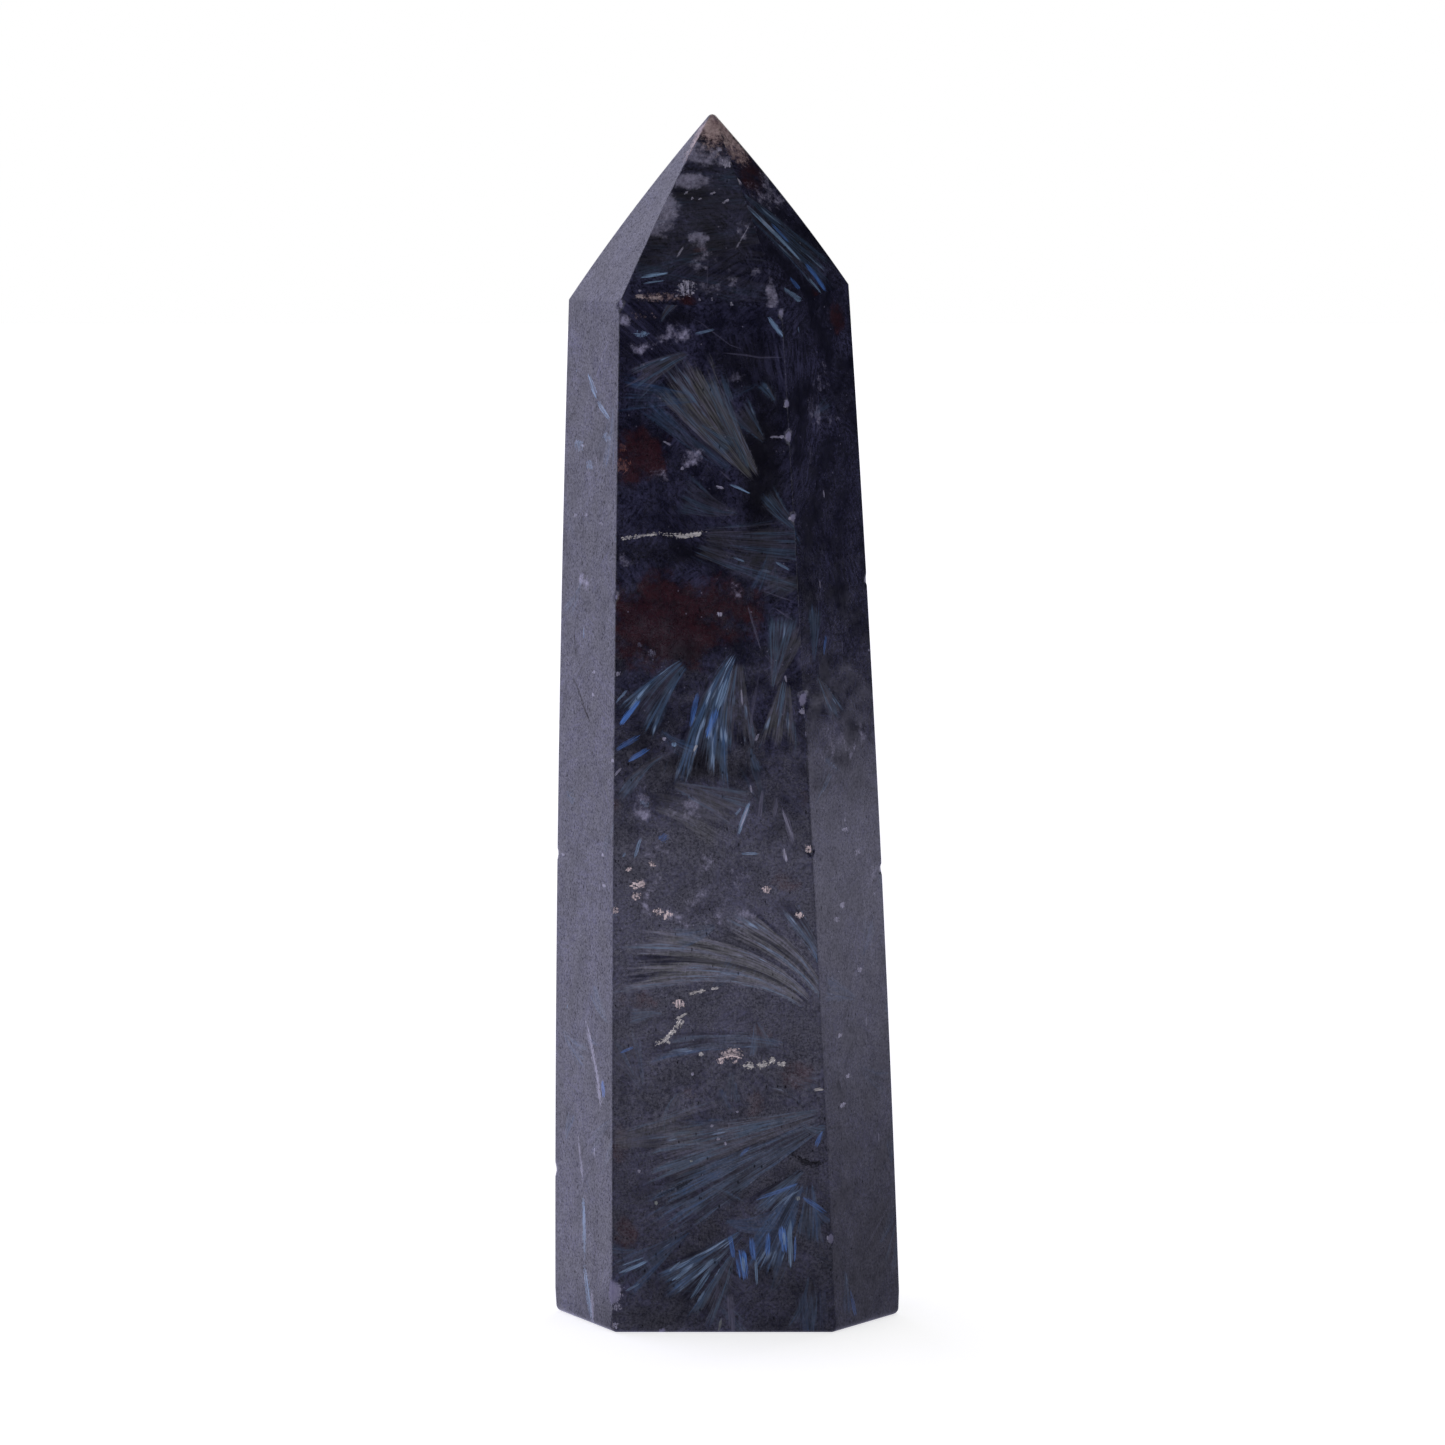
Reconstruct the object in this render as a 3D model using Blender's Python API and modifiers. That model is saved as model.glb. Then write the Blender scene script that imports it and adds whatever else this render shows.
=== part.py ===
"""A polished hornblende tower: one stone, ground to six long body facets and a six-facet point.

The stone is built the way it is cut. Rings of six corners are carried up from the flat base to
the shoulder, and from the shoulder to the point, and each facet is crowned a little, as facets
ground by hand on a flat wheel are. The edges are eased, the rim of the base more than the rest,
and small chips are knocked out of the ridges and the rim.

Units are metres, +Z is up, and the origin is the middle of the base. The broad front facet
faces -Y. Run it with: blender --background --python part.py
"""

import math
from random import Random
from typing import NamedTuple

import bmesh
import bpy
from mathutils import Vector

MM = 0.001


class Corner(NamedTuple):
    """One long ridge of the stone, in millimetres."""

    name: str
    base: tuple[float, float]
    shoulder: tuple[float, float, float]


class Nick(NamedTuple):
    """A chip in an edge, in millimetres: where its middle is, how long and how deep it is."""

    corner: str
    place: float
    length: float
    depth: float


# The six ridges, anticlockwise as seen from above. Opposite ends of a facet are parallel, so that
# each facet is flat before its crown is added. The shoulder is higher on the right, as cut.
CORNERS = (
    Corner("front_left", (-9.50, -10.50), (-8.80, -8.60, 85.0)),
    Corner("front_right", (8.95, -10.50), (4.40, -8.60, 84.65)),
    Corner("right", (14.40, -2.30), (10.03, -0.14, 85.95)),
    Corner("back_right", (8.20, 10.50), (5.80, 8.50, 85.6)),
    Corner("back_left", (-8.00, 10.50), (-8.20, 8.50, 85.0)),
    Corner("left", (-14.40, -0.80), (-13.10, -0.13, 84.7)),
)
NAMES = [corner.name for corner in CORNERS]
APEX = Vector((-1.24, 0.20, 100.36))

BODY_CROWN = 0.30
TIP_CROWN = 0.30
BODY_RINGS = 6
TIP_RINGS = 5

RIM_EASE = 0.60
RIDGE_EASE = 0.22
SHOULDER_EASE = 0.25
TIP_EASE = 0.20
EASE_SEGMENTS = 3

# Chips along the ridges, with the height of each above the base.
RIDGE_NICKS = (
    Nick("front_left", 85.0, 1.1, 0.22),
    Nick("front_left", 3.4, 2.4, 0.20),
    Nick("front_left", 61.0, 0.8, 0.12),
    Nick("front_right", 84.2, 0.8, 0.16),
    Nick("front_right", 76.8, 0.8, 0.13),
    Nick("front_right", 74.1, 1.1, 0.18),
    Nick("front_right", 67.5, 0.9, 0.14),
    Nick("front_right", 52.6, 1.5, 0.16),
    Nick("front_right", 39.4, 1.0, 0.17),
    Nick("front_right", 7.9, 1.0, 0.16),
    Nick("right", 37.5, 0.9, 0.15),
    Nick("right", 61.5, 0.8, 0.12),
    Nick("back_right", 48.0, 1.2, 0.18),
    Nick("back_right", 84.9, 1.0, 0.18),
    Nick("back_left", 22.5, 1.3, 0.18),
    Nick("back_left", 70.0, 0.9, 0.14),
    Nick("left", 38.6, 1.0, 0.15),
    Nick("left", 12.0, 0.9, 0.14),
)

# Chips along the rim of the base, with the share of the way from one corner to the next.
RIM_NICKS = (
    Nick("front_left", 0.22, 1.2, 0.20),
    Nick("front_left", 0.63, 0.9, 0.16),
    Nick("front_right", 0.55, 1.2, 0.20),
    Nick("right", 0.40, 1.4, 0.22),
    Nick("back_right", 0.70, 1.1, 0.18),
    Nick("back_left", 0.30, 1.3, 0.20),
    Nick("left", 0.30, 1.2, 0.20),
)
NICK_BREADTH = 0.75
NICK_ROUGHNESS = 0.16
SEED = 7

STONE_COLOUR = (0.018, 0.017, 0.025, 1.0)
STONE_ROUGHNESS = 0.22


def clear_scene():
    """Removes the objects that Blender starts with."""
    for obj in list(bpy.data.objects):
        bpy.data.objects.remove(obj)


def new_collection(name):
    """A collection of that name, linked to the scene."""
    collection = bpy.data.collections.new(name)
    bpy.context.scene.collection.children.link(collection)
    return collection


def base_point(corner):
    """The corner's place on the base."""
    return Vector((*corner.base, 0.0))


def outward(points, index):
    """The plan direction out of a ring's corner. Its length moves both facets there out by 1."""
    here = points[index]
    after = points[(index + 1) % len(points)]
    normals = []
    for start, end in ((points[index - 1], here), (here, after)):
        along = (end - start).xy.normalized()
        normals.append(Vector((along.y, -along.x)))
    total = normals[0] + normals[1]
    return Vector((*(total / (1 + normals[0].dot(normals[1]))), 0.0))


def ring(lower, upper, share, crown):
    """Six corners at a share of the way between two rings, pushed out by the facets' crown."""
    points = [low.lerp(high, share) for low, high in zip(lower, upper)]
    swell = crown * 4 * share * (1 - share)
    return [point + outward(lower, i) * swell for i, point in enumerate(points)]


def stone_rings():
    """The rings of corners from the base to just under the point."""
    base = [base_point(corner) for corner in CORNERS]
    shoulder = [Vector(corner.shoulder) for corner in CORNERS]
    tip = [APEX] * len(CORNERS)
    body = [ring(base, shoulder, step / BODY_RINGS, BODY_CROWN) for step in range(BODY_RINGS)]
    point = [ring(shoulder, tip, step / TIP_RINGS, TIP_CROWN) for step in range(TIP_RINGS)]
    return body + point


def ridge_point(name, height):
    """Where a ridge is at a height above the base: the point, and the direction out of it."""
    index = NAMES.index(name)
    base = [base_point(corner) for corner in CORNERS]
    shoulder = [Vector(corner.shoulder) for corner in CORNERS]
    share = min(height / shoulder[index].z, 1.0)
    return ring(base, shoulder, share, BODY_CROWN)[index], outward(base, index).normalized()


def rim_point(name, share):
    """Where the base's rim is, a share of the way to the next corner, and the direction out."""
    index = NAMES.index(name)
    start = base_point(CORNERS[index])
    end = base_point(CORNERS[(index + 1) % len(CORNERS)])
    along = (end - start).normalized()
    return start.lerp(end, share), Vector((along.y, -along.x, -1.0)).normalized()


def ease_weight(start, end, ring_of):
    """How much of the rim's ease an edge gets. Edges that lie inside a facet get none."""
    low, high = sorted((ring_of[start], ring_of[end]))
    if low == high:
        eases = {0: RIM_EASE, BODY_RINGS: SHOULDER_EASE}
        return eases.get(low, 0.0) / RIM_EASE
    return (RIDGE_EASE if high <= BODY_RINGS else TIP_EASE) / RIM_EASE


def build_stone(collection):
    """The cut stone: rings of corners, closed by the base below and the point above."""
    mesh = bpy.data.meshes.new("crystal_tower")
    shape = bmesh.new()
    rings = stone_rings()
    ring_of = {}
    rows = []
    for level, points in enumerate(rings):
        rows.append([shape.verts.new(point * MM) for point in points])
        ring_of.update((vert, level) for vert in rows[-1])
    apex = shape.verts.new(APEX * MM)
    ring_of[apex] = len(rings)
    count = len(CORNERS)
    for lower, upper in zip(rows, rows[1:]):
        for i in range(count):
            j = (i + 1) % count
            shape.faces.new((lower[i], lower[j], upper[j], upper[i]))
    for i in range(count):
        shape.faces.new((rows[-1][i], rows[-1][(i + 1) % count], apex))
    shape.faces.new(reversed(rows[0]))
    weights = shape.edges.layers.float.new("bevel_weight_edge")
    for edge in shape.edges:
        edge[weights] = ease_weight(*edge.verts, ring_of)
    shape.to_mesh(mesh)
    shape.free()
    stone = bpy.data.objects.new("crystal_tower", mesh)
    collection.objects.link(stone)
    return stone


def ease_edges(stone):
    """Rounds the worn edges, each by its own weight."""
    bevel = stone.modifiers.new("eased edges", "BEVEL")
    bevel.limit_method = "WEIGHT"
    bevel.width = RIM_EASE * MM
    bevel.segments = EASE_SEGMENTS


def build_cutter(collection, number, centre, out, nick):
    """A rough ball that bites one chip out of an edge."""
    half = nick.length / 2
    bite = NICK_BREADTH * half
    reach = math.hypot(bite, nick.depth)
    shape = bmesh.new()
    bmesh.ops.create_icosphere(shape, subdivisions=2, radius=1.0)
    rough = Random(SEED + number)
    for vert in shape.verts:
        vert.co *= 1 + NICK_ROUGHNESS * rough.uniform(-1, 1)
    mesh = bpy.data.meshes.new(f"nick_cutter_{number:02d}")
    shape.to_mesh(mesh)
    shape.free()
    cutter = bpy.data.objects.new(mesh.name, mesh)
    collection.objects.link(cutter)
    cutter.rotation_mode = "QUATERNION"
    cutter.rotation_quaternion = out.to_track_quat("X", "Z")
    cutter.scale = Vector((reach, bite, half)) * MM
    cutter.location = (centre + out * (reach - nick.depth)) * MM
    cutter.hide_render = True
    cutter.display_type = "WIRE"


def chip_edges(stone, cutters):
    """Takes every chip out of the stone."""
    places = [(nick, *ridge_point(nick.corner, nick.place)) for nick in RIDGE_NICKS]
    places += [(nick, *rim_point(nick.corner, nick.place)) for nick in RIM_NICKS]
    for number, (nick, centre, out) in enumerate(places):
        build_cutter(cutters, number, centre, out, nick)
    chips = stone.modifiers.new("chips", "BOOLEAN")
    chips.operation = "DIFFERENCE"
    chips.operand_type = "COLLECTION"
    chips.collection = cutters
    chips.solver = "EXACT"


def stone_material():
    """Polished amphibole: near black, with a blue cast and a soft shine."""
    material = bpy.data.materials.new("polished_hornblende")
    material.use_nodes = True
    shader = material.node_tree.nodes["Principled BSDF"]
    shader.inputs["Base Color"].default_value = STONE_COLOUR
    shader.inputs["Roughness"].default_value = STONE_ROUGHNESS
    shader.inputs["Metallic"].default_value = 0.0
    return material


def main():
    """Builds the tower."""
    clear_scene()
    stone = build_stone(new_collection("hornblende_crystal_tower"))
    ease_edges(stone)
    chip_edges(stone, new_collection("cutters"))
    stone.data.materials.append(stone_material())


main()
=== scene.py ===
"""A polished hornblende tower, dressed for a photograph.

The stone is near black. Sprays of amphibole needles run through it, and where they lie at the
right angle they flash blue and silver; here those flashes are painted into their colour.
Patches of garnet red, clouds of pale quartz haze and cream flecks lie between them. The stone
was ground on a flat wheel to six long facets and a six-facet point, then polished, so that
every grain is flush with the surface and what remains of the natural form is colour alone.
The ridges and the rim have lost small chips in handling.

Lengths on the stone are in millimetres, and become metres where its mesh is made. Those of the
studio are in metres.
"""

import logging
import math
from collections.abc import Iterable
from dataclasses import dataclass
from enum import Enum
from functools import partial, reduce
from random import Random

import bpy
import numpy as np
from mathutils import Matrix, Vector


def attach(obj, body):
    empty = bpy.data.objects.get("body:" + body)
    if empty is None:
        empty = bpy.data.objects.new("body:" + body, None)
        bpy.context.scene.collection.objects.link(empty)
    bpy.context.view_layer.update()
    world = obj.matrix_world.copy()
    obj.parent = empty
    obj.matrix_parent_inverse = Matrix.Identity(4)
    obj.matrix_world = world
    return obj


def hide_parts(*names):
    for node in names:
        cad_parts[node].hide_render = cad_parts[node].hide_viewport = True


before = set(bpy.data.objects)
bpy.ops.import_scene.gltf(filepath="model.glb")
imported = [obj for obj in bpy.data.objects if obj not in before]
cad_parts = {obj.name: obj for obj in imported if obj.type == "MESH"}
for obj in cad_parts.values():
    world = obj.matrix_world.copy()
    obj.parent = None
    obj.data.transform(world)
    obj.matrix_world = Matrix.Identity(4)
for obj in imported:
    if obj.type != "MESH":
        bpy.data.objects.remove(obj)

Array = np.ndarray
Tree = bpy.types.NodeTree
Socket = bpy.types.NodeSocket
Pair = tuple[float, float]
Triple = tuple[float, float, float]

MM = 0.001
NODE = "crystal_tower"
FACETS = 6
STRAND_LAYERS = 4
MARK_LAYERS = 5
UP = (0, 0, 1.0)
DOWN = (0, 0, -1.0)

# The shares of its half angle and its length over which a spray fades at its sides and ends,
# and how far past its border its field goes on, as a share of that fade.
SIDE_FADE = 0.5
START_FADE = 0.15
END_FADE = 0.5
SPRAY_MARGIN = 0.25
# How far past its edge a mark may be drawn, how much further a ragged one may, as a share of
# its width, and how far past that its field goes on.
MARK_MARGIN = 0.35
RAG_REACH = 0.5
MARK_SPARE = 0.65
# Where a patch ends, and where one of garnet keeps small sprays off if it is this strong.
CLOUD_REACH = 1.35
GARNET_REACH = 1.3
STRONG = 0.8
# Brings noise, which goes from 0 to 1, round 0.
CENTRED = (-0.5, -0.5, -0.5)

log = logging.getLogger("hornblende_tower")


def smooth(x: Array) -> Array:
    """Rises from 0 at 0 to 1 at 1 with level ends: 3x squared less 2x cubed, held outside."""
    x = np.clip(x, 0.0, 1.0)
    return x * x * (3 - 2 * x)


class Facet(Enum):
    """The facets, numbered round the stone. Those of the point follow those of the body."""

    FRONT = 0
    RIGHT_FRONT = 1
    RIGHT_BACK = 2
    BACK = 3
    LEFT_BACK = 4
    LEFT_FRONT = 5
    FRONT_TIP = 6
    RIGHT_FRONT_TIP = 7
    RIGHT_BACK_TIP = 8
    BACK_TIP = 9
    LEFT_BACK_TIP = 10
    LEFT_FRONT_TIP = 11


class Ridge(Enum):
    """The six long ridges, numbered as the facet that starts there."""

    FRONT_LEFT = 0
    FRONT_RIGHT = 1
    RIGHT = 2
    BACK_RIGHT = 3
    BACK_LEFT = 4
    LEFT = 5


class Tint(Enum):
    """The colours a mark can have, as places along the finish's colour ramp."""

    DARK = 0.03
    GARNET = 0.12
    ORANGE = 0.21
    PINK = 0.30
    CREAM = 0.39
    WHITE = 0.48
    IVORY = 0.57
    GREY = 0.66
    PALE = 0.76
    BLUE = 0.86
    STEEL = 0.96


class Ground(Enum):
    """The kinds of soft patch in the stone, as channels of one attribute.

    The rust kind is partly painted light: a warm highlight at the very point and a pale
    line of light from the sheet along the foot of the front.
    """

    GARNET = 0
    HAZE = 1
    # Rust-coloured grains, and painted light: the highlight at the point and the sheet's light
    # along the foot.
    RUST = 2
    DARK = 3


@dataclass(frozen=True)
class Chip:
    """A chip in a ridge: the height of its middle, its length and its depth."""

    ridge: Ridge
    height: float
    length: float
    depth: float


@dataclass(frozen=True)
class RimChip:
    """A chip in the rim of the base, a share of the way along a facet's lower edge."""

    facet: Facet
    share: float
    length: float
    depth: float


@dataclass(frozen=True)
class Strand:
    """A spray of needles on a facet. They spread from a focus, and may bend as a feather does.

    focus is (across, up), heading the direction of the middle needle in degrees from across,
    spread the half angle, and bend the angle that a needle has turned by its end. They show
    between the start and the reach, measured from the focus.
    """

    facet: Facet
    focus: Pair
    heading: float
    spread: float
    start: float
    reach: float
    bend: float
    blue: float
    # How much of its needles carry a painted flash of blue and silver.
    flash: float
    strength: float

    def look(self) -> Triple:
        """What the finish draws the spray with."""
        return self.blue, self.flash, self.strength

    def field(self, across: Array, up: Array) -> tuple[Array, Array, Array]:
        """Where points lie in the spray.

        In polar form round the focus, a needle leaves at one angle and has turned by the
        bend times (s + sin(90 s)) / 2 when it is a share s of its length out. Taking that turn
        away gives the angle it left at. The place across is that angle times 60% of the reach.

        Args:
            across: how far across the facet each point is.
            up: how high it is.

        Returns:
            The place across and along with a seed, one point a row, a mask that is 1 well
            inside the spray and 0 from its border on, and which points are in it or close.
        """
        dx, dz = across - self.focus[0], up - self.focus[1]
        r, length = np.hypot(dx, dz), self.reach - self.start
        out = np.clip((r - self.start) / length, 0, 1)
        turned = math.radians(self.bend) * (out + np.sin(np.pi / 2 * out)) / 2
        angle = np.arctan2(dz, dx) - math.radians(self.heading) - turned
        angle = (angle + np.pi) % (2 * np.pi) - np.pi
        side = 1 - np.abs(angle) / math.radians(self.spread)
        inside = np.minimum(side / SIDE_FADE, (r - self.start) / (START_FADE * length))
        inside = np.minimum(inside, (self.reach - r) / (END_FADE * length))
        seed = 3.7 * self.focus[0] + 1.9 * self.focus[1] + 0.31 * self.heading
        place = np.stack([angle * 0.6 * self.reach, r, np.full_like(r, seed)], axis=1)
        return place, smooth(inside), inside > -SPRAY_MARGIN


@dataclass(frozen=True)
class Mark:
    """A needle whose flash is painted into its colour, a fleck, a crack or a vein: a line
    through a few points.

    rag says how ragged its edge is, from 0 for a needle to 1 for a crumbled fleck.
    """

    facet: Facet
    path: tuple[Pair, ...]
    width: float
    tint: Tint
    strength: float
    rag: float = 0.0

    def look(self) -> Triple:
        """What the finish draws the mark with."""
        return self.tint.value, self.strength, self.rag

    def field(self, across: Array, up: Array) -> tuple[Array, Array, Array]:
        """Where points lie on the mark.

        Args:
            across: how far across the facet each point is.
            up: how high it is.

        Returns:
            The place across, from -1 to 1 over the width, and along, from -1 to 1 over the
            length, with a seed, one point a row, which points the mark may cover, and which
            are in it or close.
        """
        here, path = np.stack([across, up], axis=1), np.array(self.path)
        steps = np.diff(path, axis=0)
        lengths = np.maximum(np.linalg.norm(steps, axis=1), 1e-3)
        best = np.full(len(up), np.inf)
        side, along = np.zeros((2, len(up)))
        walked = 0.0
        for i, (start, step, length) in enumerate(zip(path, steps, lengths)):
            way, offset = step / length, here - start
            t = offset @ way
            low = -np.inf if i == 0 else 0.0
            high = np.inf if i == len(steps) - 1 else length
            held = np.clip(t, low, high)
            cross = offset[:, 1] * way[0] - offset[:, 0] * way[1]
            far = np.hypot(cross, t - held)
            nearer = far < best
            best = np.where(nearer, far, best)
            side = np.where(nearer, np.where(cross < 0, -far, far), side)
            along = np.where(nearer, walked + held, along)
            walked += length
        half, half_length = self.width / 2, lengths.sum() / 2
        outside = np.maximum(best - half, np.abs(along - half_length) - half_length)
        margin = MARK_MARGIN + RAG_REACH * self.rag * self.width
        seed = np.full(len(up), 5.3 * path[0, 0] + 2.3 * path[0, 1])
        place = np.stack([side / half, along / half_length - 1, seed], axis=1)
        return place, outside < margin, outside < margin + MARK_SPARE


@dataclass(frozen=True)
class Cloud:
    """A soft patch on a facet: its middle, its half width and half height, and its kind."""

    facet: Facet
    middle: Pair
    half: Pair
    kind: Ground
    strength: float

    def away(self, across: Array | float, up: Array | float) -> Array | float:
        """How far places on the facet are from the middle, where the patch ends at about 1."""
        dx, dz = across - self.middle[0], up - self.middle[1]
        return np.hypot(dx / self.half[0], dz / self.half[1])

    def is_garnet_at(self, facet: Facet, place: Pair) -> bool:
        """Whether this is a strong garnet patch that reaches a place.

        Args:
            facet: the facet of the place.
            place: how far across the facet and how high it is.

        Returns:
            True where it is.
        """
        strong = self.kind is Ground.GARNET and self.strength > STRONG
        return strong and self.facet is facet and self.away(*place) < GARNET_REACH


CHIP_ROWS = {
    Ridge.FRONT_LEFT: ((85.0, 1.1, 0.22), (3.4, 2.4, 0.20), (61.0, 0.8, 0.12)),
    Ridge.FRONT_RIGHT: (
        (84.2, 0.8, 0.16), (76.8, 0.8, 0.13), (74.1, 1.1, 0.18), (67.5, 0.9, 0.14),
        (52.6, 1.5, 0.16), (40.2, 0.8, 0.12), (7.9, 1.0, 0.16),
    ),
    Ridge.RIGHT: ((37.5, 0.9, 0.15), (61.5, 0.8, 0.12)),
    Ridge.BACK_RIGHT: ((48.0, 1.2, 0.18), (84.9, 1.0, 0.18)),
    Ridge.BACK_LEFT: ((22.5, 1.3, 0.18), (70.0, 0.9, 0.14)),
    Ridge.LEFT: ((38.6, 1.0, 0.15), (12.0, 0.9, 0.14)),
}

CHIPS = tuple(Chip(ridge, *row) for ridge, rows in CHIP_ROWS.items() for row in rows)

RIM_CHIPS = (
    RimChip(Facet.FRONT, 0.22, 1.2, 0.20),
    RimChip(Facet.FRONT, 0.63, 0.9, 0.16),
    RimChip(Facet.RIGHT_FRONT, 0.55, 1.2, 0.20),
    RimChip(Facet.RIGHT_BACK, 0.40, 1.4, 0.22),
    RimChip(Facet.BACK, 0.70, 1.1, 0.18),
    RimChip(Facet.LEFT_BACK, 0.30, 1.3, 0.20),
    RimChip(Facet.LEFT_FRONT, 0.30, 1.2, 0.20),
)

# What the photo shows, facet by facet. Places and lengths are in tenths of a millimetre, angles
# in degrees and shares in percent, but a mark's width is in hundredths of a millimetre.
# A spray: across, up, heading, spread, start, reach, bend, blue, flash, strength.
# A mark: width, tint, strength, rag, and the paths of one or more, each across, up, across, up.
# A patch: across, up, half width, half height, kind, strength.
SPRAY_ROWS = {
    Facet.RIGHT_FRONT_TIP: (
        (-109, 1007, -48, 7, 98, 203, 0, 30, 40, 35),
    ),
    Facet.FRONT_TIP: (
        (-200, 904, 0, 17, 107, 270, 0, 8, 0, 14), (165, 932, 180, 18, 107, 270, 0, 8, 0, 14),
    ),
    Facet.FRONT: (
        (39, 691, 129, 15, 18, 146, -4, 0, 12, 80), (36, 696, 147, 8, 33, 131, -6, 40, 25, 35),
        (31, 690, 112, 7, 25, 115, 0, 20, 20, 45), (-3, 771, 176, 12, 16, 90, 0, 65, 15, 45),
        (-20, 812, 197, 14, 8, 66, 10, 15, 15, 50), (17, 575, 236, 15, 12, 135, 17, 45, 50, 85),
        (15, 575, 262, 14, 16, 98, 6, 15, 35, 70), (-20, 567, 220, 16, 16, 90, 10, 40, 35, 70),
        (54, 567, 262, 13, 25, 90, 0, 10, 25, 75), (-69, 673, -20, 16, 49, 152, 8, 15, 10, 36),
        (38, 526, 75, 18, 8, 74, 0, 10, 20, 55), (-110, 439, 3, 12, 49, 123, -14, 0, 10, 42),
        (-53, 460, -20, 14, 8, 82, 0, 5, 10, 45), (91, 246, 126, 11, 33, 201, 35, 2, 12, 100),
        (91, 253, 108, 9, 25, 135, 26, 8, 20, 90), (91, 253, 95, 5, 37, 123, 18, 45, 35, 90),
        (95, 216, 152, 5, 49, 172, 22, 50, 30, 55), (104, 191, 196, 10, 20, 197, 0, 20, 15, 70),
        (104, 187, 209, 10, 20, 205, 0, 50, 15, 70), (-135, 153, 10, 10, 41, 139, 0, 5, 10, 50),
        (72, 142, 220, 13, 7, 67, 0, 50, 20, 90), (72, 142, 243, 13, 16, 111, 0, 85, 35, 85),
        (72, 142, 268, 12, 16, 74, 0, 60, 30, 60), (23, 93, 224, 15, 10, 98, -6, 50, 45, 90),
        (13, 78, 246, 12, 10, 82, 0, 35, 20, 70), (-20, 91, 215, 14, 8, 90, 0, 60, 15, 50),
        (73, -14, 96, 16, 8, 57, 0, 70, 10, 60),
    ),
    Facet.RIGHT_FRONT: (
        (-40, 550, 80, 16, 4, 57, 0, 40, 30, 70), (-40, 550, -54, 14, 5, 59, 0, 20, 30, 70),
        (64, 103, 245, 9, 7, 78, 0, 30, 10, 40), (-31, 58, 272, 12, 7, 49, 0, 70, 20, 50),
    ),
}

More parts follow.
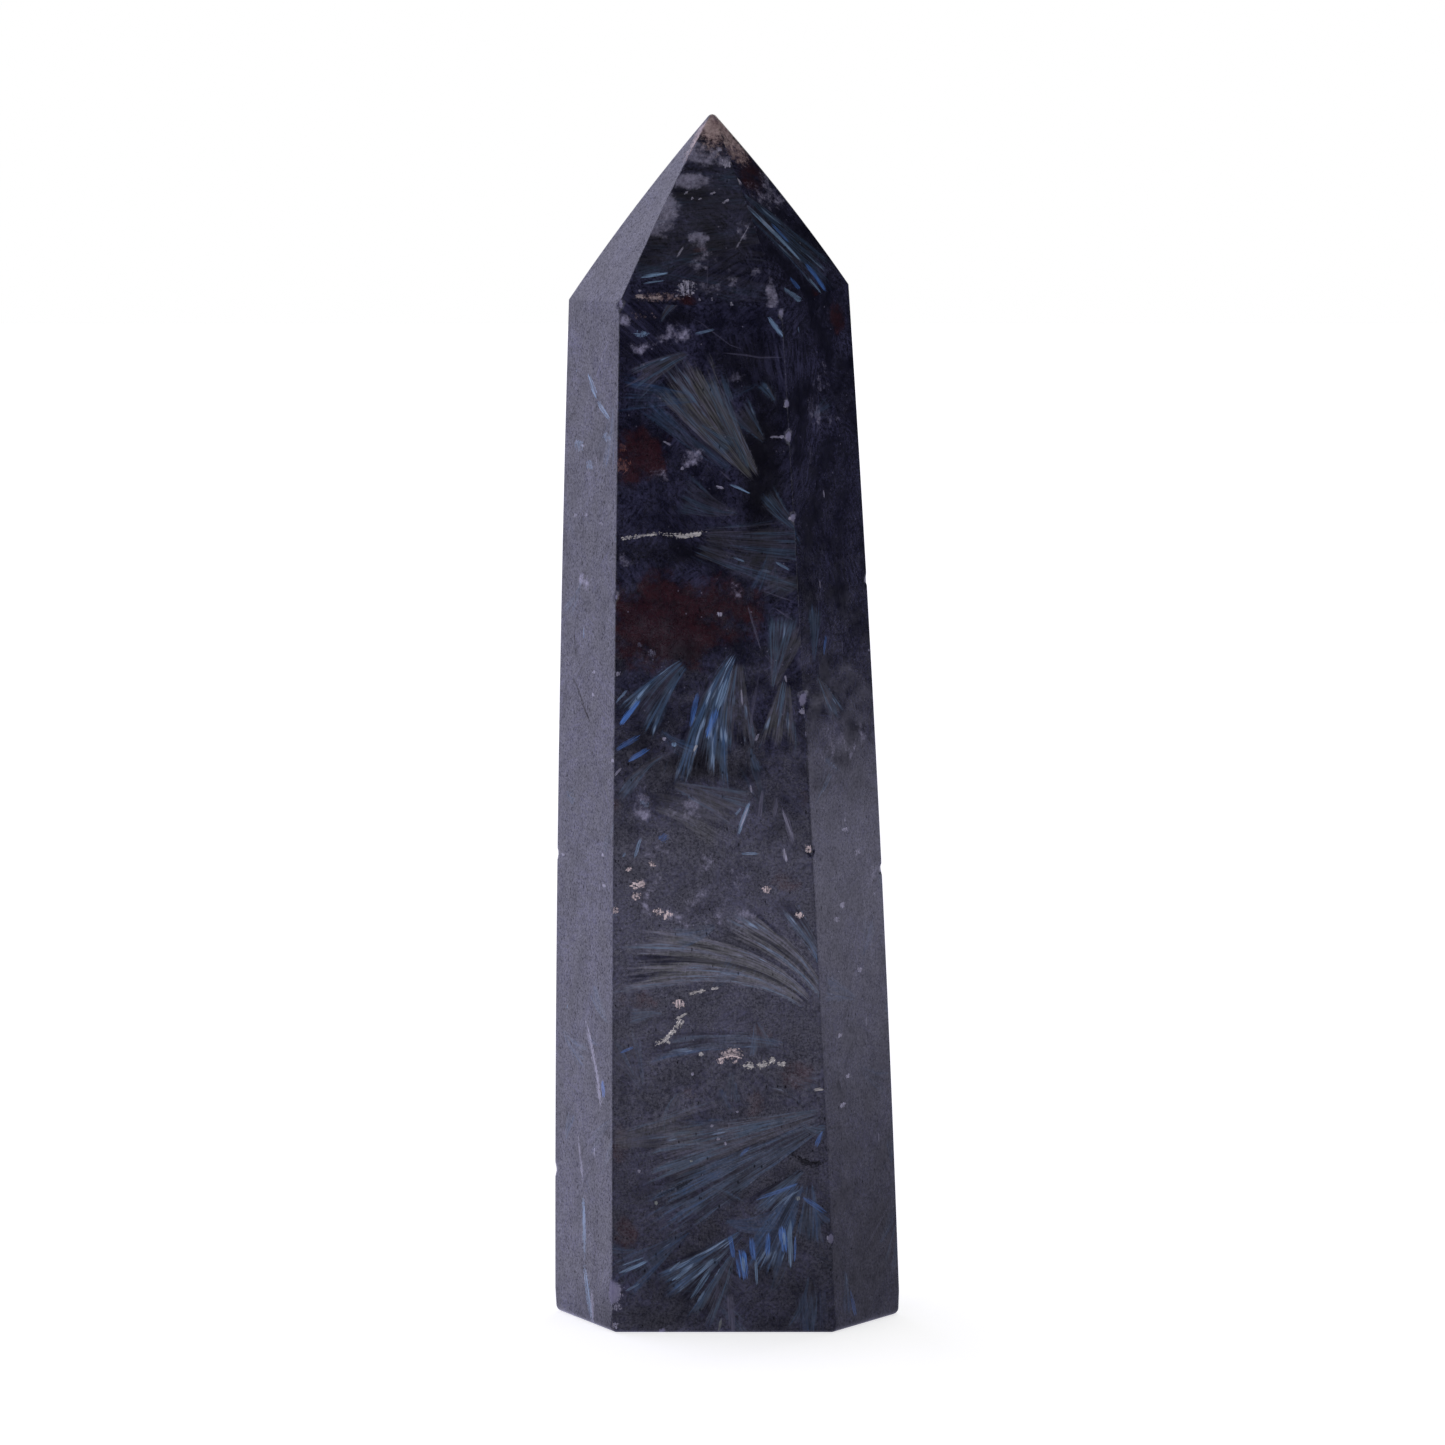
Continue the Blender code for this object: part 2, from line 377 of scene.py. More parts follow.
MARK_ROWS = {
    Facet.FRONT_TIP: (
        (47, "WHITE", 80, 0, (-4, 970, -4, 974)), (75, "WHITE", 85, 40, (2, 957, 2, 965)),
        (123, "WHITE", 38, 100, (-52, 914, -47, 927)),
        (18, "WHITE", 80, 60, (-33, 936, -29, 939), (-27, 932, -25, 934), (-12, 936, -7, 938),
            (-21, 932, -18, 933), (-2, 929, 4, 932)),
        (16, "WHITE", 50, 50, (20, 911, 15, 902, 9, 892)),
        (20, "WHITE", 60, 0, (-39, 886, -33, 895)), (15, "GREY", 50, 0, (-13, 888, -14, 859)),
        (33, "PALE", 95, 0, (-69, 871, -46, 874)), (16, "PALE", 60, 0, (-67, 866, -49, 868)),
        (132, "WHITE", 85, 100, (-31, 856, -31, 868)), (66, "GREY", 60, 60, (-17, 860, -17, 866)),
        (29, "PINK", 50, 100, (-73, 856, -65, 855)), (33, "PINK", 40, 100, (-60, 854, -51, 856)),
        (33, "PINK", 35, 100, (-46, 854, -29, 851)),
        (24, "WHITE", 70, 80, (-69, 859, -69, 861), (-62, 849, -62, 851), (-56, 856, -56, 859),
            (-47, 849, -47, 851), (-39, 855, -39, 857), (-33, 848, -33, 850),
                (-20, 852, -20, 854), (-10, 852, -10, 855), (6, 848, 6, 851)),
        (20, "WHITE", 60, 100, (-25, 852, -10, 850, -2, 847, 9, 852)),
        (94, "WHITE", 90, 90, (-79, 846, -79, 855)),
    ),
    Facet.RIGHT_FRONT_TIP: (
        (40, "WHITE", 90, 0, (-37, 955, -32, 943)),
        (53, "PALE", 90, 0, (-40, 927, -22, 904, -5, 880)),
        (40, "WHITE", 90, 0, (-31, 917, -21, 904)), (40, "BLUE", 70, 0, (-21, 913, -9, 896)),
        (66, "BLUE", 95, 0, (-2, 880, 4, 869, 9, 855)), (33, "PALE", 80, 0, (-6, 868, 2, 854)),
        (66, "PALE", 70, 30, (-45, 861, -27, 849)), (66, "BLUE", 50, 0, (-30, 869, -24, 859)),
    ),
    Facet.FRONT: (
        (49, "PALE", 60, 80, (-74, 826, -62, 825)), (25, "PALE", 60, 0, (-25, 825, -7, 829)),
        (41, "PALE", 95, 20, (36, 839, 41, 832, 48, 823)),
        (15, "GREY", 60, 0, (-3, 810, 17, 808, 29, 806, 49, 806)),
        (12, "GREY", 50, 0, (-28, 839, -20, 835, 5, 816, 17, 812)),
        (20, "GREY", 60, 0, (-83, 781, -64, 791)), (16, "GREY", 50, 0, (-69, 800, -48, 806)),
        (94, "GREY", 35, 80, (9, 786, 9, 795)), (113, "ORANGE", 70, 100, (-83, 712, -83, 723)),
        (66, "ORANGE", 50, 100, (-83, 729, -83, 735)), (33, "WHITE", 90, 80, (45, 741, 53, 741)),
        (25, "WHITE", 60, 0, (46, 741, 37, 741)),
        (33, "WHITE", 80, 0, (50, 765, 50, 768), (54, 673, 54, 676)),
        (20, "WHITE", 60, 0, (-50, 738, -43, 734)), (33, "WHITE", 80, 0, (-34, 714, -34, 717)),
        (25, "WHITE", 80, 0, (-7, 701, 0, 699)), (25, "PALE", 80, 0, (4, 703, 11, 700, 21, 695)),
        (16, "GREY", 60, 0, (-5, 715, 6, 705)),
        # The cream vein and the red patch below it.
        (29, "CREAM", 70, 90, (-86, 658, -75, 659, -65, 661, -52, 662)),
        (37, "CREAM", 75, 100, (-49, 661, -32, 660, -16, 663)),
        (12, "GREY", 50, 0, (-17, 663, 17, 664)), (20, "PALE", 50, 0, (6, 643, 17, 639)),
        (25, "PALE", 65, 0, (42, 639, 54, 632)), (15, "GREY", 60, 0, (29, 616, 58, 606)),
        (18, "GREY", 60, 0, (42, 601, 58, 590)), (25, "GREY", 65, 30, (19, 605, 23, 590, 30, 567)),
        (47, "WHITE", 80, 80, (-4, 594, -4, 598)), (57, "GREY", 80, 80, (-59, 561, -59, 567)),
        (38, "GREY", 70, 60, (-69, 569, -69, 573)), (38, "WHITE", 60, 50, (-87, 545, -87, 549)),
        (41, "GREY", 50, 0, (61, 561, 63, 549)), (47, "WHITE", 70, 70, (64, 514, 64, 519)),
        # The spray of blue and silver blades: needles whose flashes are painted into their colour.
        (66, "PALE", 75, 0, (3, 544, -6, 516)), (66, "BLUE", 95, 0, (-6, 519, -14, 494)),
        (49, "BLUE", 60, 0, (-21, 532, -28, 503)), (20, "WHITE", 60, 0, (14, 535, 15, 521)),
        (33, "GREY", 60, 0, (29, 549, 23, 516, 20, 493)), (41, "GREY", 40, 0, (33, 563, 42, 555)),
        (20, "WHITE", 80, 0, (50, 546, 51, 540)), (26, "PALE", 80, 0, (-60, 540, -73, 525)),
        (33, "PALE", 80, 0, (-65, 534, -79, 516)), (57, "BLUE", 90, 0, (-69, 526, -85, 505)),
        (25, "PALE", 70, 0, (-79, 534, -89, 523)), (20, "PALE", 70, 0, (-75, 531, -89, 516)),
        (49, "BLUE", 60, 0, (-68, 497, -89, 484)), (49, "BLUE", 70, 0, (-61, 486, -79, 475)),
        (25, "WHITE", 60, 0, (-84, 470, -90, 463)), (33, "WHITE", 90, 0, (-49, 492, -49, 495)),
        (42, "PALE", 95, 0, (-41, 487, -41, 491)), (28, "WHITE", 80, 0, (-68, 508, -68, 510)),
        (25, "CREAM", 60, 0, (-22, 489, -25, 483)), (25, "WHITE", 60, 0, (29, 498, 25, 492)),
        # Painted flashes and dull flecks half way down.
        (41, "PALE", 35, 100, (-69, 443, -62, 438)), (20, "WHITE", 70, 0, (21, 456, 23, 449)),
        (45, "PALE", 85, 0, (21, 442, 11, 414)), (20, "WHITE", 100, 0, (20, 438, 13, 420)),
        (25, "PALE", 60, 0, (14, 437, 9, 430)), (41, "GREY", 90, 0, (32, 452, 28, 426)),
        (18, "WHITE", 95, 0, (31, 447, 29, 432)), (25, "PALE", 50, 0, (35, 443, 34, 433)),
        (37, "GREY", 80, 0, (44, 447, 41, 429)), (53, "GREY", 90, 0, (47, 440, 52, 425, 57, 407)),
        (21, "WHITE", 95, 0, (48, 435, 52, 423, 56, 412)), (33, "WHITE", 90, 0, (49, 404, 51, 392)),
        (33, "PALE", 65, 0, (-68, 412, -74, 395)), (25, "PALE", 60, 0, (-81, 400, -83, 396)),
        (25, "PALE", 75, 0, (13, 399, 29, 399)), (74, "BLUE", 40, 60, (-53, 409, -46, 414)),
        (57, "PINK", 95, 100, (-59, 388, -59, 393)), (64, "PINK", 95, 100, (-72, 361, -72, 367)),
        (45, "PINK", 95, 100, (-78, 384, -78, 388)), (64, "PINK", 95, 100, (-54, 348, -54, 354)),
        (76, "PINK", 95, 100, (-47, 345, -47, 352)), (64, "PINK", 95, 100, (-90, 349, -90, 355)),
        (57, "PINK", 95, 100, (35, 366, 35, 372), (62, 345, 62, 350)),
        (64, "PINK", 95, 100, (70, 400, 70, 406)), (66, "PINK", 100, 100, (-76, 372, -64, 375)),
        (57, "PINK", 90, 100, (-69, 365, -69, 371)), (47, "PINK", 90, 100, (-65, 388, -65, 393)),
        (38, "WHITE", 80, 80, (-86, 385, -86, 389)), (28, "PINK", 80, 80, (-69, 384, -69, 387)),
        (57, "PINK", 80, 100, (62, 346, 62, 351)),
        # The row of cream and pink flecks.
        (29, "CREAM", 100, 70, (-29, 283, -20, 285, -15, 286)),
        (25, "CREAM", 90, 30, (-11, 287, -4, 288)), (75, "PINK", 100, 90, (-37, 271, -37, 278)),
        (41, "CREAM", 100, 100, (-56, 241, -49, 245, -43, 250, -40, 254)),
        (45, "CREAM", 100, 90, (-40, 254, -35, 261)), (20, "CREAM", 80, 80, (-40, 262, -30, 267)),
        (28, "CREAM", 80, 80, (-34, 258, -34, 261)), (33, "CREAM", 80, 90, (-46, 241, -46, 244)),
        (28, "CREAM", 70, 80, (-28, 270, -28, 273)), (38, "PINK", 80, 100, (9, 225, 9, 228)),
        (38, "WHITE", 90, 0, (-26, 256, -26, 260)), (42, "CREAM", 90, 0, (-19, 231, -19, 235)),
        (82, "PINK", 100, 90, (-3, 231, 6, 234, 15, 232)), (57, "PINK", 95, 80, (-3, 225, -3, 230)),
        (53, "CREAM", 100, 100, (16, 224, 25, 223)), (49, "CREAM", 100, 100, (27, 223, 36, 225)),
        (57, "CREAM", 100, 100, (37, 226, 42, 229)), (41, "CREAM", 95, 100, (44, 224, 51, 226)),
        (28, "WHITE", 80, 0, (-26, 215, -26, 218)), (25, "BLUE", 60, 0, (-86, 234, -74, 239)),
        (29, "CREAM", 80, 0, (73, 203, 82, 204)),
        # Below the row of flecks.
        (41, "GREY", 45, 30, (-69, 179, -35, 190)), (25, "GREY", 50, 0, (-17, 187, -3, 192)),
        (28, "WHITE", 80, 0, (-10, 172, -10, 175), (-5, 161, -5, 164), (1, 157, 1, 160),
            (11, 184, 11, 186)),
        (33, "BLUE", 50, 0, (13, 148, 21, 156)), (28, "IVORY", 90, 0, (-27, 143, -27, 145)),
        (33, "IVORY", 90, 0, (-56, 107, -56, 111)), (28, "WHITE", 80, 0, (-70, 134, -70, 137)),
        (57, "DARK", 80, 70, (54, 152, 63, 145, 75, 141, 84, 145)),
        (33, "DARK", 70, 60, (-57, 114, -36, 123, -24, 130)),
        (41, "BLUE", 70, 0, (81, 169, 75, 155)),
        # The blue blades near the foot: needles whose flashes are painted into their colour.
        (107, "BLUE", 100, 0, (13, 71, 17, 44)), (33, "PALE", 100, 0, (15, 65, 17, 50)),
        (49, "BLUE", 90, 0, (22, 82, 25, 60)), (25, "PALE", 80, 0, (26, 63, 27, 38)),
        (49, "BLUE", 95, 0, (37, 84, 35, 64)), (20, "PALE", 90, 0, (36, 80, 36, 70)),
        (74, "BLUE", 100, 0, (47, 90, 51, 67)), (29, "PALE", 100, 0, (49, 85, 50, 73)),
        (49, "PALE", 80, 0, (54, 97, 55, 55)), (25, "BLUE", 70, 0, (59, 82, 58, 60)),
        (49, "BLUE", 60, 0, (5, 82, 8, 63)), (33, "BLUE", 50, 0, (44, 65, 43, 36)),
        (33, "BLUE", 40, 0, (31, 70, 31, 45)), (41, "BLUE", 60, 0, (61, 125, 43, 118, 26, 112)),
        (25, "PALE", 50, 0, (63, 120, 49, 112, 38, 102)), (33, "GREY", 40, 0, (34, 53, 35, 36)),
        (42, "IVORY", 70, 0, (61, 111, 61, 115)), (25, "PALE", 65, 0, (61, 112, 57, 99, 50, 85)),
        (49, "BLUE", 50, 0, (65, 114, 75, 107, 85, 100)), (38, "GREY", 80, 0, (66, 83, 66, 87)),
        (42, "WHITE", 80, 0, (86, 78, 86, 82)), (41, "PALE", 60, 0, (-7, 63, -22, 49)),
        (49, "PALE", 55, 0, (-10, 55, -28, 28)), (25, "PALE", 60, 0, (-16, 36, -22, 26)),
        (33, "PALE", 80, 0, (-28, 55, -43, 44)), (25, "PALE", 60, 0, (-36, 60, -46, 51)),
        (25, "GREY", 50, 0, (-5, 41, -7, 28)), (37, "PALE", 90, 0, (-63, 61, -73, 56, -88, 50)),
        (18, "PALE", 70, 0, (-65, 64, -84, 57)), (25, "PALE", 50, 0, (-69, 42, -82, 35)),
        (74, "GREY", 70, 0, (5, 35, 7, -1)), (25, "IVORY", 50, 0, (-2, 13, -5, 0)),
        (98, "WHITE", 95, 100, (-89, 41, -88, 28)), (66, "WHITE", 60, 100, (-88, 26, -88, 19)),
        (57, "WHITE", 70, 100, (-90, 4, -90, 9)), (33, "GREY", 35, 90, (25, 25, 42, 26, 59, 23)),
        (115, "STEEL", 50, 0, (65, 35, 66, 0)), (82, "STEEL", 40, 0, (81, 38, 82, 0)),
    ),
    Facet.RIGHT_FRONT: (
        (76, "WHITE", 100, 60, (-5, 411, -5, 415), (13, 390, 13, 395), (-14, 349, -14, 354),
            (-23, 338, -23, 343), (8, 293, 8, 297), (-26, 243, -26, 247), (-16, 208, -16, 212),
                (-26, 185, -26, 189)),
        (33, "GREY", 50, 0, (37, 93, -2, 61)), (66, "BLUE", 45, 0, (-25, 32, -18, 9)),
        (53, "BLUE", 50, 0, (-19, 575, -24, 559)), (79, "GREY", 25, 80, (-24, 773, -25, 749)),
        (66, "GREY", 25, 80, (-28, 736, -28, 716)),
    ),
    Facet.LEFT_FRONT: (
        (75, "PALE", 70, 20, (-15, 788, 3, 770)), (60, "PALE", 70, 20, (3, 768, 28, 754)),
        (171, "PALE", 40, 80, (-30, 724, -30, 733)), (137, "PALE", 40, 80, (22, 736, 22, 743)),
        (137, "PALE", 35, 80, (-7, 710, -7, 718)),
        (33, "DARK", 80, 20, (-33, 538, -19, 525, -7, 511, 6, 500)),
        (27, "DARK", 75, 30, (-30, 607, -28, 599), (-28, 595, -26, 592), (-26, 589, -23, 584),
            (-9, 596, -7, 592), (-13, 600, -11, 597), (-31, 573, -28, 563), (-28, 561, -26, 554),
                (9, 661, 11, 657), (-22, 674, -19, 663), (-16, 635, -18, 630),
                    (-38, 615, -36, 611), (21, 644, 19, 639), (-31, 535, -29, 531),
                        (-39, 383, -37, 376), (26, 356, 28, 349), (8, 309, 8, 304),
                            (-19, 260, -17, 253)),
        (69, "WHITE", 40, 50, (-33, 668, -33, 672), (-12, 671, -12, 674), (16, 666, 16, 669),
            (-14, 618, -14, 622), (-21, 727, -21, 730)),
        (60, "WHITE", 70, 30, (8, 543, 8, 546), (7, 524, 7, 527), (45, 474, 45, 477),
            (30, 394, 30, 397), (-45, 385, -45, 388), (33, 369, 33, 372)),
        (75, "WHITE", 60, 40, (2, 254, 23, 211, 31, 183)),
        (60, "WHITE", 50, 40, (-12, 156, -2, 119)), (75, "PALE", 95, 30, (-2, 107, 0, 82, 2, 51)),
        (89, "PALE", 70, 50, (2, 49, 10, 20, 16, 3)), (89, "BLUE", 80, 0, (33, 209, 37, 194)),
        (75, "WHITE", 50, 40, (16, 30, 16, 0)),
    ),
}

PATCH_ROWS = {
    Facet.FRONT_TIP: (
        # The rust patches at the very point paint its warm highlight.
        (-10, 998, 16, 23, "RUST", 95), (-10, 971, 20, 11, "RUST", 35),
        (-7, 982, 12, 8, "GARNET", 55), (-21, 968, 18, 9, "HAZE", 72), (2, 962, 7, 6, "HAZE", 70),
        (-28, 946, 20, 7, "HAZE", 85), (-49, 923, 12, 19, "HAZE", 100),
        (-56, 911, 8, 8, "HAZE", 70), (-21, 902, 11, 6, "HAZE", 75), (-3, 949, 11, 6, "HAZE", 40),
        (17, 908, 7, 9, "HAZE", 40), (39, 859, 6, 21, "HAZE", 55), (9, 872, 20, 20, "HAZE", 30),
        (-20, 883, 10, 21, "HAZE", 35), (-52, 855, 28, 5, "RUST", 50),
        (-20, 892, 7, 3, "GARNET", 90), (-28, 853, 16, 6, "GARNET", 70),
        (-56, 897, 13, 11, "DARK", 60), (-16, 861, 11, 6, "HAZE", 50),
        (-20, 957, 18, 4, "DARK", 40),
    ),
    Facet.RIGHT_FRONT_TIP: (
        # The rust patches at the very point paint its warm highlight.
        (-15, 995, 12, 16, "RUST", 90), (-16, 971, 17, 17, "RUST", 62),
        (-16, 953, 20, 23, "GARNET", 70), (-3, 934, 26, 20, "HAZE", 40),
        (-3, 851, 15, 8, "GARNET", 60), (0, 890, 18, 15, "DARK", 50),
    ),
    Facet.LEFT_FRONT_TIP: (
        # The rust patches at the very point paint its warm highlight.
        (5, 987, 14, 12, "RUST", 90), (6, 970, 14, 12, "RUST", 50),
    ),
    Facet.FRONT: (
        (-69, 840, 23, 6, "RUST", 30), (-46, 826, 21, 11, "HAZE", 48),
        (-69, 814, 16, 7, "HAZE", 40), (9, 789, 8, 7, "HAZE", 40), (-83, 832, 8, 10, "HAZE", 40),
        (-34, 838, 15, 7, "DARK", 80), (17, 800, 29, 24, "DARK", 60),
        (-69, 726, 29, 31, "GARNET", 85), (-28, 724, 15, 10, "HAZE", 40),
        (-56, 708, 13, 7, "HAZE", 40), (31, 714, 21, 78, "DARK", 100),
        (-44, 647, 45, 10, "DARK", 70), (-81, 639, 11, 7, "HAZE", 40),
        (-46, 590, 59, 46, "GARNET", 100), (13, 598, 29, 33, "GARNET", 60),
        (9, 613, 10, 10, "HAZE", 35), (-32, 565, 16, 11, "DARK", 70),
        (-88, 437, 7, 8, "GARNET", 80), (65, 443, 7, 10, "GARNET", 70),
        (-28, 369, 62, 37, "HAZE", 25), (13, 357, 33, 17, "HAZE", 15),
        (-69, 377, 25, 12, "DARK", 30), (51, 376, 15, 12, "GARNET", 75),
        (-73, 277, 21, 13, "GARNET", 60), (31, 251, 12, 9, "GARNET", 65),
        (57, 216, 18, 18, "GARNET", 80), (24, 191, 12, 13, "GARNET", 75),
        (-85, 158, 9, 20, "GARNET", 80), (-20, 201, 15, 7, "GARNET", 45),
        (-82, 82, 12, 21, "GARNET", 80), (54, 78, 12, 17, "DARK", 50),
        # The rust patch along the foot, at 0 up, paints a pale line of light from the sheet.
        (-10, 85, 12, 10, "DARK", 60), (-61, 11, 29, 12, "DARK", 80), (-3, 0, 91, 2, "RUST", 50),
        (72, 85, 11, 18, "DARK", 60), (-66, 437, 11, 18, "HAZE", 38),
        (-26, 437, 25, 12, "HAZE", 36), (-20, 471, 61, 14, "DARK", 100),
        (-28, 409, 45, 18, "DARK", 28), (-48, 410, 11, 13, "HAZE", 30),
        (-69, 493, 16, 16, "DARK", 40),
    ),
    Facet.RIGHT_FRONT: (
        (24, 833, 15, 16, "GARNET", 80), (-18, 760, 12, 24, "HAZE", 35),
        (4, 767, 30, 57, "HAZE", 14), (-6, 487, 39, 21, "HAZE", 30), (14, 369, 30, 25, "HAZE", 30),
        (4, 60, 46, 38, "DARK", 60),
    ),
    Facet.LEFT_FRONT: (
        (-12, 615, 15, 8, "HAZE", 50), (-33, 708, 19, 66, "DARK", 30),
    ),
}

STRANDS = tuple(
    Strand(
        facet, (across / 10, up / 10), heading, spread, start / 10, reach / 10, bend,
        blue / 100, flash / 100, strength / 100,
    )
    for facet, rows in SPRAY_ROWS.items()
    for across, up, heading, spread, start, reach, bend, blue, flash, strength in rows
)

MARKS = tuple(
    Mark(
        facet, tuple((x / 10, z / 10) for x, z in zip(path[::2], path[1::2])),
        width / 100, Tint[tint], strength / 100, rag / 100,
    )
    for facet, rows in MARK_ROWS.items()
    for width, tint, strength, rag, *paths in rows
    for path in paths
)

CLOUDS = tuple(
    Cloud(facet, (across / 10, up / 10), (wide / 10, tall / 10), Ground[kind], strength / 100)
    for facet, rows in PATCH_ROWS.items()
    for across, up, wide, tall, kind, strength in rows
)


def linear(code: str) -> tuple[float, float, float, float]:
    """The linear colour of an sRGB hex code.

    Args:
        code: six hex digits after a hash.

    Returns:
        Red, green and blue from 0 to 1, and an alpha of 1.
    """
    values = [int(code[i : i + 2], 16) / 255 for i in (1, 3, 5)]
    made = [v / 12.92 if v <= 0.04045 else ((v + 0.055) / 1.055) ** 2.4 for v in values]
    return (*made, 1.0)


def add(tree: Tree, kind: str, *links: object, out: int = 0, **settings: object) -> Socket | None:
    """Adds a node to a tree, with its settings and what goes into it.

    Args:
        tree: the node tree.
        kind: the node's type, and after a colon its operation, interpolation or data type.
        links: sockets to link and values to set, for the inputs in use, in their order.
        out: which of the outputs in use is returned.
        settings: the same by the input's name, and the node's own properties.

    Returns:
        The output asked for, whose node gives the others, or None where it has none.
    """
    kind, _, mode = kind.partition(":")
    node = tree.nodes.new(kind if kind.startswith("NodeGroup") else f"ShaderNode{kind}")
    if mode:
        modes = ("operation", "interpolation_type", "data_type")
        setattr(node, next(name for name in modes if hasattr(node, name)), mode)
    inputs = {}
    for name, value in settings.items():
        if name.replace("_", " ") in node.inputs:
            inputs[node.inputs[name.replace("_", " ")]] = value
        else:
            setattr(node, name, value)
    inputs.update(zip([socket for socket in node.inputs if socket.enabled], links))
    for socket, value in inputs.items():
        if isinstance(value, Socket):
            tree.links.new(value, socket)
        else:
            socket.default_value = value
    outputs = [socket for socket in node.outputs if socket.enabled]
    return outputs[out] if outputs else None


def fill(ramp: bpy.types.ColorRamp, stops: Iterable[tuple[float, str]]) -> None:
    """Sets the stops of a new colour ramp.

    Args:
        ramp: the ramp, which has two stops as yet.
        stops: places in rising order, each with its hex code.
    """
    for number, (position, code) in enumerate(stops):
        if number > 1:
            ramp.elements.new(position)
        ramp.elements[number].position = position
        ramp.elements[number].color = linear(code)


def emptied(owner: bpy.types.Material | bpy.types.World) -> Tree:
    """Clears the node tree of a material or a world.

    Args:
        owner: the material or the world.

    Returns:
        Its node tree, with nothing in it.
    """
    owner.use_nodes = True
    owner.node_tree.nodes.clear()
    return owner.node_tree


def new_group(name: str, inputs: dict[str, str], outputs: dict[str, str]) -> Tree:
    """A node group with its sockets.

    Args:
        name: what it is called.
        inputs: the type of each input by its name.
        outputs: the type of each output by its name.

    Returns:
        The group's node tree.
    """
    tree = bpy.data.node_groups.new(name, "ShaderNodeTree")
    for way, sockets in (("INPUT", inputs), ("OUTPUT", outputs)):
        for label, kind in sockets.items():
            tree.interface.new_socket(label, in_out=way, socket_type=f"NodeSocket{kind}")
    return tree


def placed(
    name: str, data: bpy.types.ID, place: Triple = (0, 0, 0), way: Vector | None = None
) -> bpy.types.Object:
    """Puts an object into the scene.

    Args:
        name: what it is called.
        data: its mesh, lamp or camera.
        place: where it stands, in metres.
        way: where a lamp or a camera looks, as a vector from its place.

    Returns:
        The object.
    """
    made = bpy.data.objects.new(name, data)
    bpy.context.scene.collection.objects.link(made)
    made.location = place
    if way is not None:
        made.rotation_mode = "QUATERNION"
        made.rotation_quaternion = way.to_track_quat("-Z", "Y")
    return made


def unit(vectors: Array) -> Array:
    """The same directions with a length of 1."""
    return vectors / np.linalg.norm(vectors, axis=-1, keepdims=True)


def slerp(a: Array, b: Array, share: Array) -> Array:
    """Unit vectors a share of the way from a to b along the great circle between them.

    Args:
        a: unit vectors, one a row.
        b: unit vectors, one a row.
        share: how far to go, from 0 to 1, one a row.

    Returns:
        (a sin((1 - share) angle) + b sin(share angle)) / sin(angle), one a row.
    """
    dot = np.clip((a * b).sum(-1, keepdims=True), -1, 1)
    angle = np.maximum(np.arccos(dot), 1e-6)
    share = share[..., None]
    return unit((a * np.sin((1 - share) * angle) + b * np.sin(share * angle)) / np.sin(angle))


def swirl(points: Array, size: float, seed: float) -> Array:
    """A smooth field from about -1 to 1: three crossed sine waves, each bent by the next.

    Args:
        points: places, with x, y and z on the last axis.
        size: the width of its swells.
        seed: moves the field along, so that two differ.

    Returns:
        One value a place.
    """
    x, y, z = np.moveaxis(points * (2 * np.pi / size), -1, 0)
    bent = np.sin(0.7 * y + 1.3 * z + seed) + np.sin(1.1 * x - 0.6 * z + 2 * seed)
    return (np.sin(x + bent + seed) + np.sin(0.9 * z + 1.2 * bent) + np.sin(y - bent)) / 3


def named(rows: list[tuple], *names: str) -> dict[str, Array]:
    """The columns of a table as arrays, by their names."""
    return dict(zip(names, map(np.array, zip(*rows))))


